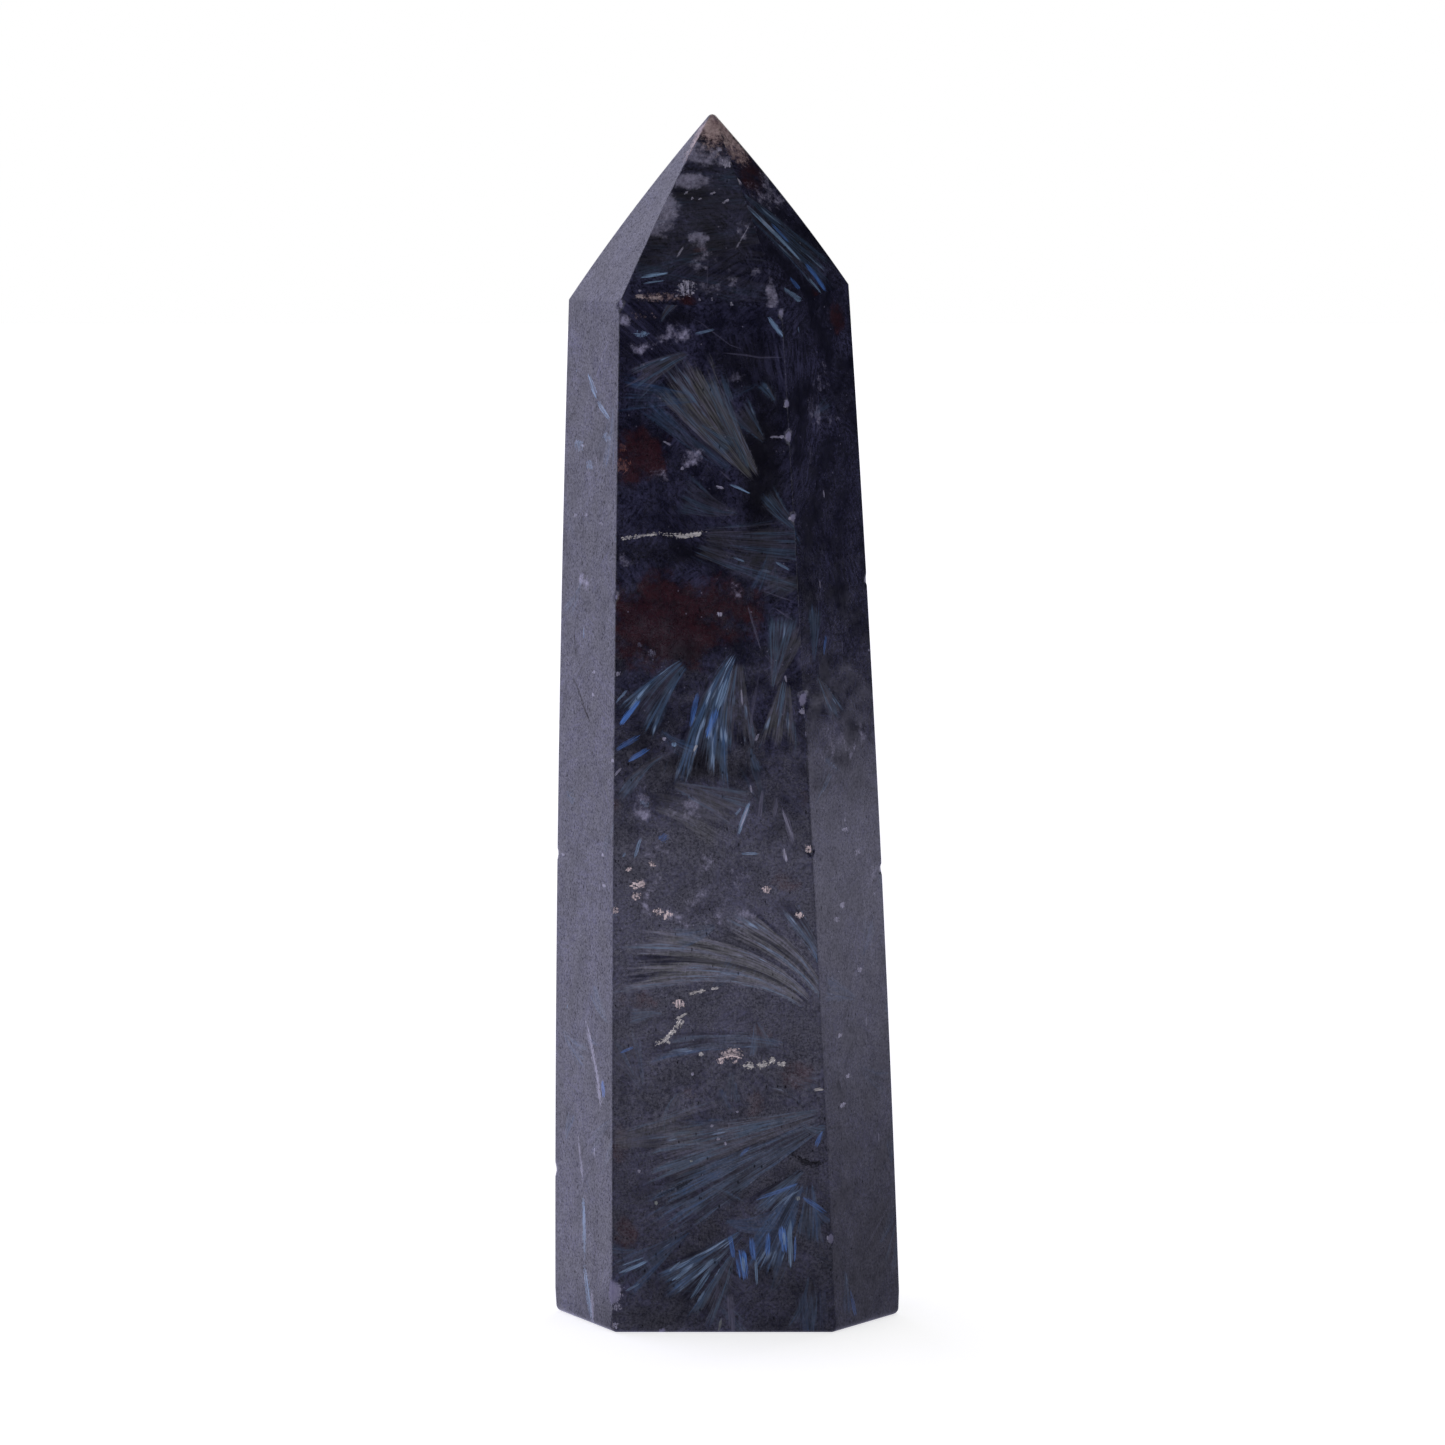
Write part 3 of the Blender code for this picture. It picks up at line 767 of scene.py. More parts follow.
@dataclass
class StoneShape:
    """The ground and polished stone, as one closed surface of rows and columns.

    The columns go round the stone anticlockwise, the rows from the middle of the base, over its
    rim, up the body, over the shoulder and up the point. Corners lie on the six ridges. A swell
    that the lap left has a height, a width and a seed. A chip stays within chip_side of its
    edge, and looks broken within chip_wear or rim_wear times its length.
    """

    base: tuple[Pair, ...] = (
        (-9.50, -10.50), (8.95, -10.50), (14.40, -2.30),
        (8.20, 10.50), (-8.00, 10.50), (-14.40, -0.80),
    )
    shoulder: tuple[Triple, ...] = (
        (-8.80, -8.60, 85.00), (4.40, -8.60, 84.65), (10.03, -0.14, 85.95),
        (5.80, 8.50, 85.60), (-8.20, 8.50, 85.00), (-13.10, -0.13, 84.70),
    )
    apex: Triple = (-1.24, 0.20, 100.36)
    body_crown: float = 0.30
    tip_crown: float = 0.30
    rim_round: float = 0.60
    ridge_round: float = 0.10
    point_round: float = 0.45
    low: float = 2.0
    ridge_inset: float = 0.1
    swells: tuple[Triple, ...] = ((0.014, 17.0, 1.0), (0.006, 6.0, 4.0))
    swell_fade: float = 1.5
    crumble: float = 0.05
    crumble_width: float = 0.7
    chip_breadth: float = 0.38
    chip_side: float = 2.0
    chip_wear: Triple = (0.40, 0.40, 0.62)
    rim_wear: float = 0.5
    rim_height: float = 0.3
    facet_columns: tuple[int, ...] = (62, 30, 24, 26, 24, 32)
    ridge_columns: int = 5
    body_rows: int = 350
    tip_rows: int = 68
    chips: tuple[Chip, ...] = ()
    rim_chips: tuple[RimChip, ...] = ()

    def corners(self) -> tuple[Array, Array, Array]:
        """The base's corners, the shoulder's corners and the point, as arrays."""
        base = np.column_stack([np.array(self.base), np.zeros(FACETS)])
        return base, np.array(self.shoulder), np.array(self.apex)

    def planes(self) -> tuple[Array, Array, Array, Array]:
        """The flat facets before they are crowned.

        Returns:
            The body facets' unit normals and their distances from the origin, then the same
            of the point's facets. A normal is the cross product of a facet's diagonals.
        """
        base, shoulder, apex = self.corners()
        base_next, shoulder_next = np.roll(base, -1, axis=0), np.roll(shoulder, -1, axis=0)
        body = unit(np.cross(shoulder_next - base, shoulder - base_next))
        tip = unit(np.cross(shoulder_next - shoulder, apex - shoulder))
        every = np.stack([base, base_next, shoulder, shoulder_next])
        return body, (every * body).sum(-1).mean(0), tip, (shoulder * tip).sum(-1)

    def stations(self) -> tuple[Array, Array]:
        """Four rings of corners, each drawn in by the rounding so that a ball touches its facets.

        Returns:
            The corners of each ring, and each ring's rounding. A corner is the point whose
            distance inside every facet that meets there is the rounding, by least squares.
        """
        body, body_far, tip, tip_far = self.planes()
        rings = np.zeros((4, FACETS, 3))
        rounds = np.array([self.rim_round, self.ridge_round, self.ridge_round, self.point_round])
        for k in range(FACETS):
            sides, far = body[[k - 1, k]], body_far[[k - 1, k]]
            tips, tips_far = tip[[k - 1, k]], tip_far[[k - 1, k]]
            meets = (
                (np.vstack([sides, DOWN]), np.append(far - rounds[0], -rounds[0])),
                (np.vstack([sides, UP]), np.append(far - rounds[1], self.low)),
                (np.vstack([sides, tips]), np.append(far, tips_far) - rounds[2]),
                (tip, tip_far - rounds[3]),
            )
            for ring, (normals, distances) in enumerate(meets):
                rings[ring, k] = np.linalg.lstsq(normals, distances, rcond=None)[0]
        return rings, rounds

    def columns(self) -> dict[str, Array]:
        """Where each column is.

        Returns:
            The corner before and the corner after, the share of the way between them, the two
            facets whose normals it mixes, the share of that mix, and the facet it counts as.
        """
        rows = []
        base, _, _ = self.corners()
        for k, count in enumerate(self.facet_columns):
            last, after = (k - 1) % FACETS, (k + 1) % FACETS
            turns = np.linspace(0, 1, self.ridge_columns)
            rows += [(k, k, 0.0, last, k, turn, k if turn >= 0.5 else last) for turn in turns]
            inset = self.ridge_inset / np.linalg.norm(base[after] - base[k])
            shares = np.linspace(inset, 1 - inset, count)
            rows += [(k, after, share, k, k, 0.0, k) for share in shares]
        return named(rows, "before", "after", "share", "facet_a", "facet_b", "turn", "owner")

    def rows(self) -> dict[str, Array]:
        """Where each row is.

        Returns:
            The ring below and the ring above, the share between them, the two levels whose
            normals it mixes (0 down, 1 body, 2 point, 3 up), the share of that mix, how far
            the ring is opened from the middle, the crown, and whether it is on the point.
        """
        made = [(0, 0, 0.0, 0, 0, 0.0, share, 0.0, 0) for share in (0.25, 0.5, 0.75, 0.92, 1.0)]
        made += [(0, 0, 0.0, 0, 1, turn, 1.0, 0.0, 0) for turn in (0.17, 0.34, 0.5, 0.67, 0.84)]
        height = float(np.mean([corner[2] for corner in self.shoulder]))
        for z in np.linspace(0, height, self.body_rows):
            crown = self.body_crown * 4 * (z / height) * (1 - z / height)
            ring, share = (0, z / self.low) if z < self.low else (
                1, (z - self.low) / (height - self.low)
            )
            made.append((ring, ring + 1, share, 1, 1, 0.0, 1.0, crown, 0))
        made += [(2, 2, 0.0, 1, 2, turn, 1.0, 0.0, int(turn > 0.5)) for turn in (0.33, 0.67)]
        for share in np.linspace(0, 1, self.tip_rows):
            crown = self.tip_crown * 4 * share * (1 - share)
            made.append((2, 3, share, 2, 2, 0.0, 1.0, crown, 1))
        made += [(3, 3, 0.0, 2, 3, turn, 1.0, 0.0, 1) for turn in (0.3, 0.6, 0.85)]
        return named(
            made, "ring_a", "ring_b", "share", "level_a", "level_b", "turn", "open", "crown", "tip"
        )

    def outward(self) -> Array:
        """How each ridge moves when both of its facets move out by one millimetre.

        Returns:
            One plan vector a ridge: (a + b) / (1 + a . b), of its facets' plan normals a and b.
        """
        flat = unit(self.planes()[0] * np.array([1, 1, 0]))
        before = np.roll(flat, 1, axis=0)
        return (before + flat) / (1 + (before * flat).sum(-1, keepdims=True))

    def surface(self) -> tuple[Array, Array, Array]:
        """The whole rounded, crowned and chipped surface.

        A point is q + r n. q lies on the drawn-in ring, a share of the way between two
        corners and between two rings. r is the rounding there, and n the normal, which turns
        along a great circle from one facet to the next across a ridge, the rim or the shoulder.

        Returns:
            The points by row and column, the facet number of each (-1 under the base), and
            the distance of each from the nearest edge.
        """
        col, row = self.columns(), self.rows()
        rings, rounds = self.stations()
        body, _, tip, _ = self.planes()
        share = col["share"][None, :, None]
        inner = rings[:, col["before"]] * (1 - share) + rings[:, col["after"]] * share
        climb = row["share"][:, None, None]
        q = inner[row["ring_a"]] * (1 - climb) + inner[row["ring_b"]] * climb
        r = rounds[row["ring_a"]] * (1 - row["share"]) + rounds[row["ring_b"]] * row["share"]
        count = len(col["share"])
        last, this = col["facet_a"], col["facet_b"]
        sides = [slerp(part[last], part[this], col["turn"]) for part in (body, tip)]
        levels = np.stack([np.tile(DOWN, (count, 1)), *sides, np.tile(UP, (count, 1))])
        turn = np.repeat(row["turn"][:, None], count, axis=1)
        n = slerp(levels[row["level_a"]], levels[row["level_b"]], turn)
        q[..., :2] *= row["open"][:, None, None]
        out = self.outward()
        swell = out[col["before"]] * (1 - share[0]) + out[col["after"]] * share[0]
        points = q + n * r[:, None, None] + swell[None] * row["crown"][:, None, None]
        facet = np.where(row["tip"][:, None] == 1, col["owner"] + FACETS, col["owner"])
        on_base = (row["level_a"] == 0) & (row["turn"] < 0.5)
        facet = np.where(on_base[:, None], -1, facet)
        near = self.edge_distance(points, col)
        wave = sum(height * swirl(points, width, seed) for height, width, seed in self.swells)
        lift = np.where(facet < 0, 0.0, wave * smooth(near / self.swell_fade))
        return self.chipped(points + n * lift[..., None]), facet, near

    def edge_distance(self, points: Array, col: dict[str, Array]) -> Array:
        """How far each point is from the nearest ridge, the shoulder or the rim.

        Args:
            points: the surface by row and column.
            col: where each column is.

        Returns:
            The distance, by row and column.
        """
        base, shoulder, _ = self.corners()
        share = col["share"]
        widths = np.linalg.norm(np.roll(base, -1, axis=0) - base, axis=1)[col["before"]]
        ridge = np.minimum(share, 1 - share) * widths
        tops = shoulder[col["before"], 2] * (1 - share) + shoulder[col["after"], 2] * share
        near = np.minimum(ridge[None], np.abs(points[..., 2] - tops[None]))
        return np.minimum(near, np.abs(points[..., 2] - self.rim_height))

    def chipped(self, points: Array) -> Array:
        """Breaks the chips out: inside a chip nothing stands out past its hollow floor.

        The floor lies in by depth (1 - d squared), where d is the distance from the chip's
        middle over its half length or half breadth, with a crumbled unevenness added.

        Args:
            points: the surface by row and column.

        Returns:
            The surface with its chips.
        """
        base, shoulder, _ = self.corners()
        out = self.outward()
        height = shoulder[:, 2]
        places = []
        for chip in self.chips:
            k = chip.ridge.value
            t = min(chip.height / height[k], 1.0)
            at = base[k] + (shoulder[k] - base[k]) * t + out[k] * self.body_crown * 4 * t * (1 - t)
            places.append((at, unit(out[k]), np.array(UP), chip))
        for chip in self.rim_chips:
            k = chip.facet.value
            along = base[(k + 1) % FACETS] - base[k]
            at = base[k] + along * chip.share
            along = unit(along)
            places.append((at, unit(np.array([along[1], -along[0], -1.0])), along, chip))
        for at, outwards, along, chip in places:
            step = points - at
            stands, run = step @ outwards, step @ along
            aside = step - stands[..., None] * outwards - run[..., None] * along
            beside = np.linalg.norm(aside, axis=-1) / (self.chip_breadth * chip.length)
            d = (run / (chip.length / 2)) ** 2 + beside**2
            crumbs = self.crumble * swirl(points, self.crumble_width, chip.length * 9)
            floor = crumbs - chip.depth * (1 - d)
            on_this_side = stands > -self.chip_side
            cut = np.where((d < 1) & on_this_side, np.maximum(stands - floor, 0), 0)
            points = points - cut[..., None] * outwards
        return points

    def near_chip(self, points: Array) -> Array:
        """How close each point is to a chip, which is where the polish is broken.

        Args:
            points: places, with x, y and z on the last axis.

        Returns:
            1 in the middle of a chip, falling evenly to 0 at its edge and outside all.
        """
        base, shoulder, _ = self.corners()
        most = np.zeros(points.shape[:-1])
        for chip in self.chips:
            k = chip.ridge.value
            at = base[k] + (shoulder[k] - base[k]) * min(chip.height / shoulder[k, 2], 1.0)
            step = (points - at) / np.array(self.chip_wear) / chip.length
            most = np.maximum(most, 1 - np.linalg.norm(step, axis=-1))
        for chip in self.rim_chips:
            k = chip.facet.value
            at = base[k] + (base[(k + 1) % FACETS] - base[k]) * chip.share
            far = np.linalg.norm(points - at, axis=-1) / (self.rim_wear * chip.length)
            most = np.maximum(most, 1 - far)
        return np.clip(most, 0, 1)

    def across(self, points: Array, facet: Array) -> Array:
        """How far across its facet each point lies.

        Args:
            points: places, one a row.
            facet: the facet number of each.

        Returns:
            The distance along the facet's lower edge, from the middle of that edge.
        """
        base, _, _ = self.corners()
        after = np.roll(base, -1, axis=0)
        k = facet % FACETS
        return ((points - ((base + after) / 2)[k]) * unit(after - base)[k]).sum(-1)


@dataclass
class Inclusions:
    """Everything that grew in the stone, worked out as smooth fields over its surface.

    A spray or a mark gives the points near it a place of their own: how far across the
    needles they lie and how far along. The finish draws the needles there.
    """

    across: Array
    up: Array
    facet: Array

    def on(self, facet: Facet) -> Array:
        """The numbers of the points that lie on a facet."""
        return np.flatnonzero(self.facet == facet.value)

    def layers(self, items: tuple[Strand | Mark, ...], count: int) -> list[tuple[Array, Array]]:
        """The fields of sprays or marks.

        Those that come close to each other go into different layers, so that no field has a
        jump where it shows.

        Args:
            items: the sprays or the marks.
            count: how many layers there are.

        Returns:
            For each layer its places, and its mask and look, one point a row.
        """
        size = len(self.up)
        layers = [(np.zeros((size, 3)), np.zeros((size, 4))) for _ in range(count)]
        taken = [np.zeros(size, bool) for _ in range(count)]
        left = 0
        for item in items:
            at = self.on(item.facet)
            place, mask, zone = item.field(self.across[at], self.up[at])
            points = at[zone]
            free = [i for i, used in enumerate(taken) if not used[points].any()]
            if not free:
                left += 1
                continue
            places, looks = layers[free[0]]
            taken[free[0]][points] = True
            places[points] = place[zone]
            looks[points, 0] = mask[zone]
            looks[points, 1:] = item.look()
        log.info("%d in %d layers, %d left out for want of one", len(items), count, left)
        return layers

    def ground(self, clouds: Iterable[Cloud]) -> Array:
        """The fields of the soft patches.

        Args:
            clouds: the patches.

        Returns:
            One point a row and one channel a kind: 1 less the product of what each leaves bare.
        """
        bare = np.ones((len(self.up), len(Ground)))
        for cloud in clouds:
            at = self.on(cloud.facet)
            cover = smooth(CLOUD_REACH - cloud.away(self.across[at], self.up[at]))
            bare[at, cloud.kind.value] *= 1 - cloud.strength * cover
        return 1 - bare


@dataclass(frozen=True)
class HornblendeFinish:
    """Hornblende and its blue relatives: a dark amphibole rock, ground and polished.

    The eye sees a near-black felt of needles under a soft gloss. Needles that lie near the
    surface show grey-green, and those that catch the light flash blue or silver; these flashes
    are painted into the colour. The tints are those of the marks, in the order of Tint.
    """

    name: str = "polished_hornblende"
    felt_dark: str = "#0a0a18"
    felt_light: str = "#4c4c66"
    garnet: str = "#180b11"
    garnet_light: str = "#3c1e22"
    haze: str = "#413f4e"
    haze_light: str = "#a9a6b9"
    # Rust tones, which also paint the highlight at the point and the sheet's light along the foot.
    rust_and_painted_light: str = "#735b5c"
    rust_and_painted_light_pale: str = "#d2bbb1"
    dark: str = "#0a090f"
    olive: str = "#6d6e62"
    rose: str = "#625f68"
    steel: str = "#506372"
    blue: str = "#385474"
    glint: str = "#adc6de"
    wear: str = "#7c798f"
    quartz: str = "#8f8c9c"
    pit: str = "#08070b"
    # The pale, white and blue tints also carry the painted flashes of needles.
    tints: tuple[str, ...] = (
        "#0b0a10", "#3d1b1d", "#74402c", "#fbe6dc", "#f8f3e4", "#bab7c6",
        "#a5aa9c", "#5f5d6e", "#86a3bd", "#5280c4", "#3f4a60",
    )
    roughness: float = 0.13
    ior: float = 1.65
    grind_depth: float = 0.004

    def strand_group(self) -> Tree:
        """Draws one layer of sprays over what lies below it.

        Needles are noise drawn out along the spray, about 0.15 mm wide. Bundles are the same
        ten times coarser, and open dark gaps between them, which polish poorly. Where a
        bundle lies just so, a painted flash of blue and silver is mixed into its colour, the
        same from every side.

        Returns:
            The group's node tree.
        """
        takes = {"Below": "Color", "Place": "Vector", "Look": "Color", "Strength": "Float"}
        tree = new_group("needle_spray", takes, {"Colour": "Color", "Gap": "Float"})
        node = partial(add, tree)
        below, at, look, strength = node("NodeGroupInput").node.outputs[:4]
        mask, blue, flash = node("SeparateColor", look).node.outputs
        fine = node("VectorMath:MULTIPLY", at, (8.5, 0.45, 1.0))
        fine = node("TexNoise", fine, Scale=1.0, Detail=3.0, Roughness=0.62)
        fine = node("MapRange", fine, 0.34, 0.66)
        bundle = node("VectorMath:MULTIPLY", at, (1.5, 0.11, 1.0))
        bundle = node("TexNoise", bundle, Scale=1.0, Detail=2.0)
        bundle = node("MapRange", bundle, 0.38, 0.62)
        torn = node("Math:MULTIPLY_ADD", fine, 0.55, mask)
        torn = node("Math:MULTIPLY_ADD", bundle, 0.6, torn)
        cover = node("MapRange:SMOOTHSTEP", torn, 0.65, 1.25)
        held = node("MapRange", mask, 0.0, 0.3)
        open_gap = node("Math:MULTIPLY_ADD", bundle, 0.72, 0.28)
        cover = reduce(partial(node, "Math:MULTIPLY"), (cover, held, open_gap, strength))
        hue = node("Math:ADD", bundle, -0.5)
        hue = node("Math:MULTIPLY_ADD", hue, 0.5, blue, use_clamp=True)
        hue = node("Math:MULTIPLY_ADD", fine, 0.3, hue)
        tint = node("ValToRGB", hue)
        colours = (self.olive, self.rose, self.steel, self.blue)
        fill(tint.node.color_ramp, zip((0.15, 0.35, 0.55, 1.0), colours))
        shade = node("Math:MULTIPLY_ADD", fine, 1.35, 0.2)
        needle = node("VectorMath:MULTIPLY", tint, shade)
        mixed = node("Mix:RGBA", cover, below, needle)
        # Painted highlight: the flash of blue and silver, mixed into the colour.
        glint = node("VectorMath:MULTIPLY", at, (2.6, 0.42, 1.7))
        glint = node("TexNoise", glint, Scale=1.0, Detail=1.0)
        glint = node("Math:MULTIPLY_ADD", flash, 0.34, glint)
        glint = node("MapRange:SMOOTHSTEP", glint, 0.74, 0.84)
        glint = node("Math:MULTIPLY", glint, cover)
        shine = node("Mix:RGBA", fine, linear(self.blue), linear(self.glint))
        mixed = node("Mix:RGBA", glint, mixed, shine)
        gap = node("Math:MULTIPLY_ADD", fine, 0.5, bundle)
        gap = node("MapRange", gap, 0.75, 0.2)
        gap = reduce(partial(node, "Math:MULTIPLY"), (gap, held, strength))
        node("NodeGroupOutput", Colour=mixed, Gap=gap)
        return tree

    def mark_group(self) -> Tree:
        """Draws one layer of needles, flecks, cracks and veins over what lies below it.

        A mark is solid where 1 - across squared - along cubed is above 0, so it tapers to
        both ends. Crumbled noise moves that edge by the mark's raggedness. Streaks that run
        along the mark feather its ends, and lighten and darken it.

        Returns:
            The group's node tree.
        """
        takes = {"Below": "Color", "Place": "Vector", "Look": "Color", "Rag": "Float"}
        takes["Crumble"] = "Float"
        gives = {"Colour": "Color", "Cover": "Float", "Pit": "Float"}
        tree = new_group("needle_mark", takes, gives)
        node = partial(add, tree)
        below, at, look, rag, crumble = node("NodeGroupInput").node.outputs[:5]
        holds, tint, strength = node("SeparateColor", look).node.outputs
        across, along, _ = node("SeparateXYZ", at).node.outputs
        side = node("Math:MULTIPLY", across, across)
        end = node("Math:ABSOLUTE", along)
        end = node("Math:POWER", end, 3.0)
        body = node("Math:ADD", side, end)
        body = node("Math:SUBTRACT", 1.0, body)
        rag = node("Math:MULTIPLY", rag, 9.0)
        body = node("Math:MULTIPLY_ADD", crumble, rag, body)
        streak = node("VectorMath:MULTIPLY", at, (4.4, 0.6, 1.0))
        streak = node("TexNoise", streak, Scale=1.0, Detail=4.0, Roughness=0.65)
        streak = node("MapRange", streak, 0.36, 0.62)
        feather = node("Math:MULTIPLY_ADD", streak, 0.8, -0.55)
        body = node("Math:ADD", body, feather)
        edge = node("MapRange:SMOOTHSTEP", body, 0.0, 0.6)
        holds = node("MapRange", holds, 0.45, 0.95)
        cut = node("Math:MULTIPLY_ADD", streak, 0.6, 0.4)
        cover = reduce(partial(node, "Math:MULTIPLY"), (edge, holds, cut, strength))
        hue = node("ValToRGB", tint)
        fill(hue.node.color_ramp, ((kind.value, code) for kind, code in zip(Tint, self.tints)))
        shade = node("Math:MULTIPLY_ADD", streak, 0.75, 0.45)
        colour = node("VectorMath:MULTIPLY", hue, shade)
        mixed = node("Mix:RGBA", cover, below, colour)
        black = node("Math:LESS_THAN", tint, 0.07)
        pit = node("Math:MULTIPLY", cover, black)
        node("NodeGroupOutput", Colour=mixed, Cover=cover, Pit=pit)
        return tree

    def felt(self, tree: Tree, place: Socket) -> Socket:
        """The dark felt of needles that the whole stone is made of.

        Cells of about 5 mm each have a direction of their own, taken from the cell's random
        colour. Noise is squeezed along that direction, p - 0.96 (p . d) d, so that it draws
        out into needles which the facets cut at every angle.

        Args:
            tree: the material's node tree.
            place: the place in the stone, in millimetres.

        Returns:
            How light the felt is, from 0 to 1.
        """
        node = partial(add, tree)
        bend = node("TexNoise", place, out=1, Scale=0.28, Detail=2.0)
        bend = node("VectorMath:ADD", bend, CENTRED)
        bend = node("VectorMath:SCALE", bend, 6.0)
        bent = node("VectorMath:ADD", place, bend)
        cell = node("TexVoronoi", bent, out=1, Scale=0.2, Randomness=1.0)
        way = node("VectorMath:ADD", cell, CENTRED)
        way = node("VectorMath:NORMALIZE", way)
        run = node("VectorMath:DOT_PRODUCT", place, way)
        run = node("Math:MULTIPLY", run, -0.96)
        along = node("VectorMath:SCALE", way, run)
        squeezed = node("VectorMath:ADD", place, along)
        needles = node("TexNoise", squeezed, Scale=3.4, Detail=4.0, Roughness=0.7)
        needles = node("MapRange", needles, 0.4, 0.74)
        grain = node("TexNoise", place, Scale=6.0, Detail=3.0, Roughness=0.8)
        grain = node("MapRange", grain, 0.42, 0.72)
        felt = node("Math:MULTIPLY_ADD", grain, 0.45, needles)
        drift = node("TexNoise", place, Scale=0.33, Detail=5.0)
        drift = node("MapRange", drift, 0.36, 0.68, 0.1, 0.9)
        return node("Math:MULTIPLY", felt, drift, use_clamp=True)

    def patches(self, tree: Tree, place: Socket, below: Socket) -> Socket:
        """Garnet red, quartz haze, rust and dark patches, with mottled and ragged borders.

        The rust is partly painted light: a warm highlight at the point and a pale line of light
        from the sheet along the foot.

        Args:
            tree: the material's node tree.
            place: the place in the stone, in millimetres.
            below: the felt's colour.

        Returns:
            The colour with the patches laid over it.
        """
        node = partial(add, tree)
        ground = node("Attribute", attribute_name="ground").node.outputs
        garnet, haze, rust_and_painted_light = node("SeparateColor", ground[0]).node.outputs
        cloud = node("TexNoise", place, Scale=0.55, Detail=8.0, Roughness=0.7)
        grain = node("TexNoise", place, Scale=3.8, Detail=5.0, Roughness=0.75)
        plans = (
            (garnet, self.garnet, self.garnet_light, cloud, 2.2, 0.9),
            (haze, self.haze, self.haze_light, cloud, 3.0, 0.85),
            # The rust tones also paint the highlight at the point and the sheet's light along the
            # foot.
            (rust_and_painted_light, self.rust_and_painted_light, self.rust_and_painted_light_pale, grain, 1.3, 0.95),
        )
        for amount, dark, light, noise, torn, most in plans:
            shifted = node("Math:ADD", noise, -0.5)
            cover = node("Math:MULTIPLY_ADD", shifted, torn, amount)
            cover = node("MapRange:SMOOTHSTEP", cover, 0.3, 0.85, 0.0, most)
            held = node("MapRange", amount, 0.0, 0.15)
            cover = node("Math:MULTIPLY", cover, held)
            tone = node("Math:MULTIPLY_ADD", grain, 0.7, cloud)
            tone = node("MapRange", tone, 0.68, 1.08)
            tone = node("Mix:RGBA", tone, linear(dark), linear(light))
            below = node("Mix:RGBA", cover, below, tone)
        cover = node("Math:MULTIPLY", ground[3], 0.85)
        return node("Mix:RGBA", cover, below, linear(self.dark))

    def specks(self, tree: Tree, place: Socket) -> Socket:
        """Pinprick grains of quartz 0.1 to 0.2 mm wide, one in every few cubic millimetres.

        Args:
            tree: the material's node tree.
            place: the place in the stone, in millimetres.

        Returns:
            Above 0 in a grain and 0 between them.
        """
        node = partial(add, tree)
        away, colour = node("TexVoronoi", place, Scale=1.5, Randomness=1.0).node.outputs[:2]
        chance = node("SeparateColor", colour).node.outputs
        near = node("MapRange", away, 0.13, 0.06)
        few = node("Math:GREATER_THAN", chance[0], 0.72)
        dim = node("Math:MULTIPLY", chance[1], 0.5)
        return reduce(partial(node, "Math:MULTIPLY"), (near, few, dim))

    def pits(self, tree: Tree, place: Socket, wear: Socket) -> Socket:
        """Pits that the polish has not closed: upright dashes 0.1 mm wide and 0.2 mm tall.

        Args:
            tree: the material's node tree.
            place: the place in the stone, in millimetres.
            wear: how worn the facet is, from 0 to 1.

        Returns:
            Above 0 in a pit and 0 between them.
        """
        node = partial(add, tree)
        drawn = node("VectorMath:MULTIPLY", place, (3.1, 3.1, 1.5))
        away, colour = node("TexVoronoi", drawn, Scale=1.0, Randomness=1.0).node.outputs[:2]
        chance = node("SeparateColor", colour).node.outputs
        size = node("MapRange", chance[0], 0.0, 1.0, 0.12, 0.34)
        near = node("MapRange", away, size, 0.08, 0.0, 0.9)
        rare = node("MapRange", wear, 0.0, 1.0, 0.93, 0.5)
        few = node("Math:GREATER_THAN", chance[2], rare)
        return node("Math:MULTIPLY", near, few)

    def material(self) -> bpy.types.Material:
        """The stone: felt, patches, sprays, marks and grains, under a ground and polished skin.

        Returns:
            The material.
        """
        material = bpy.data.materials.new(self.name)
        tree = emptied(material)
        node = partial(add, tree)
        place = node("TexCoord", out=3)
        place = node("VectorMath:SCALE", place, 1 / MM)
        felt = self.felt(tree, place)
        colour = node("Mix:RGBA", felt, linear(self.felt_dark), linear(self.felt_light))
        colour = self.patches(tree, place, colour)
        spray, gaps = self.strand_group(), 0.0
        for number in range(STRAND_LAYERS):
            at = node("Attribute", out=1, attribute_name=f"strand_{number}")
            look = node("Attribute", attribute_name=f"strand_look_{number}").node.outputs
            made = node("Group", colour, at, look[0], look[3], node_tree=spray).node.outputs
            colour = made[0]
            gaps = node("Math:MAXIMUM", made[1], gaps)
        crumble = node("TexNoise", place, Scale=4.2, Detail=4.0, Roughness=0.7)
        crumble = node("Math:ADD", crumble, -0.5)
        edges = node("Attribute", attribute_name="edges").node.outputs
        edge, chipped, wear = node("SeparateColor", edges[0]).node.outputs
        needle, covers, pits = self.mark_group(), 0.0, self.pits(tree, place, wear)
        for number in range(MARK_LAYERS):
            at = node("Attribute", out=1, attribute_name=f"mark_{number}")
            look = node("Attribute", attribute_name=f"mark_look_{number}").node.outputs
            given = (colour, at, look[0], look[3], crumble)
            made = node("Group", *given, node_tree=needle).node.outputs
            colour = made[0]
            rough = node("Math:MULTIPLY", made[1], look[3])
            covers = node("Math:MAXIMUM", rough, covers)
            pits = node("Math:MAXIMUM", made[2], pits)
        grains = self.specks(tree, place)
        colour = node("Mix:RGBA", grains, colour, linear(self.quartz))
        colour = node("Mix:RGBA", pits, colour, linear(self.pit))
        broken = node("TexNoise", place, Scale=2.4, Detail=5.0, Roughness=0.8)
        worn = node("MapRange", edge, 0.16, 0.0)
        worn = node("Math:MULTIPLY_ADD", broken, 2.2, worn)
        worn = node("MapRange:SMOOTHSTEP", worn, 2.2, 2.6, 0.0, 0.75)
        chip = node("Math:MULTIPLY_ADD", broken, 0.9, chipped)
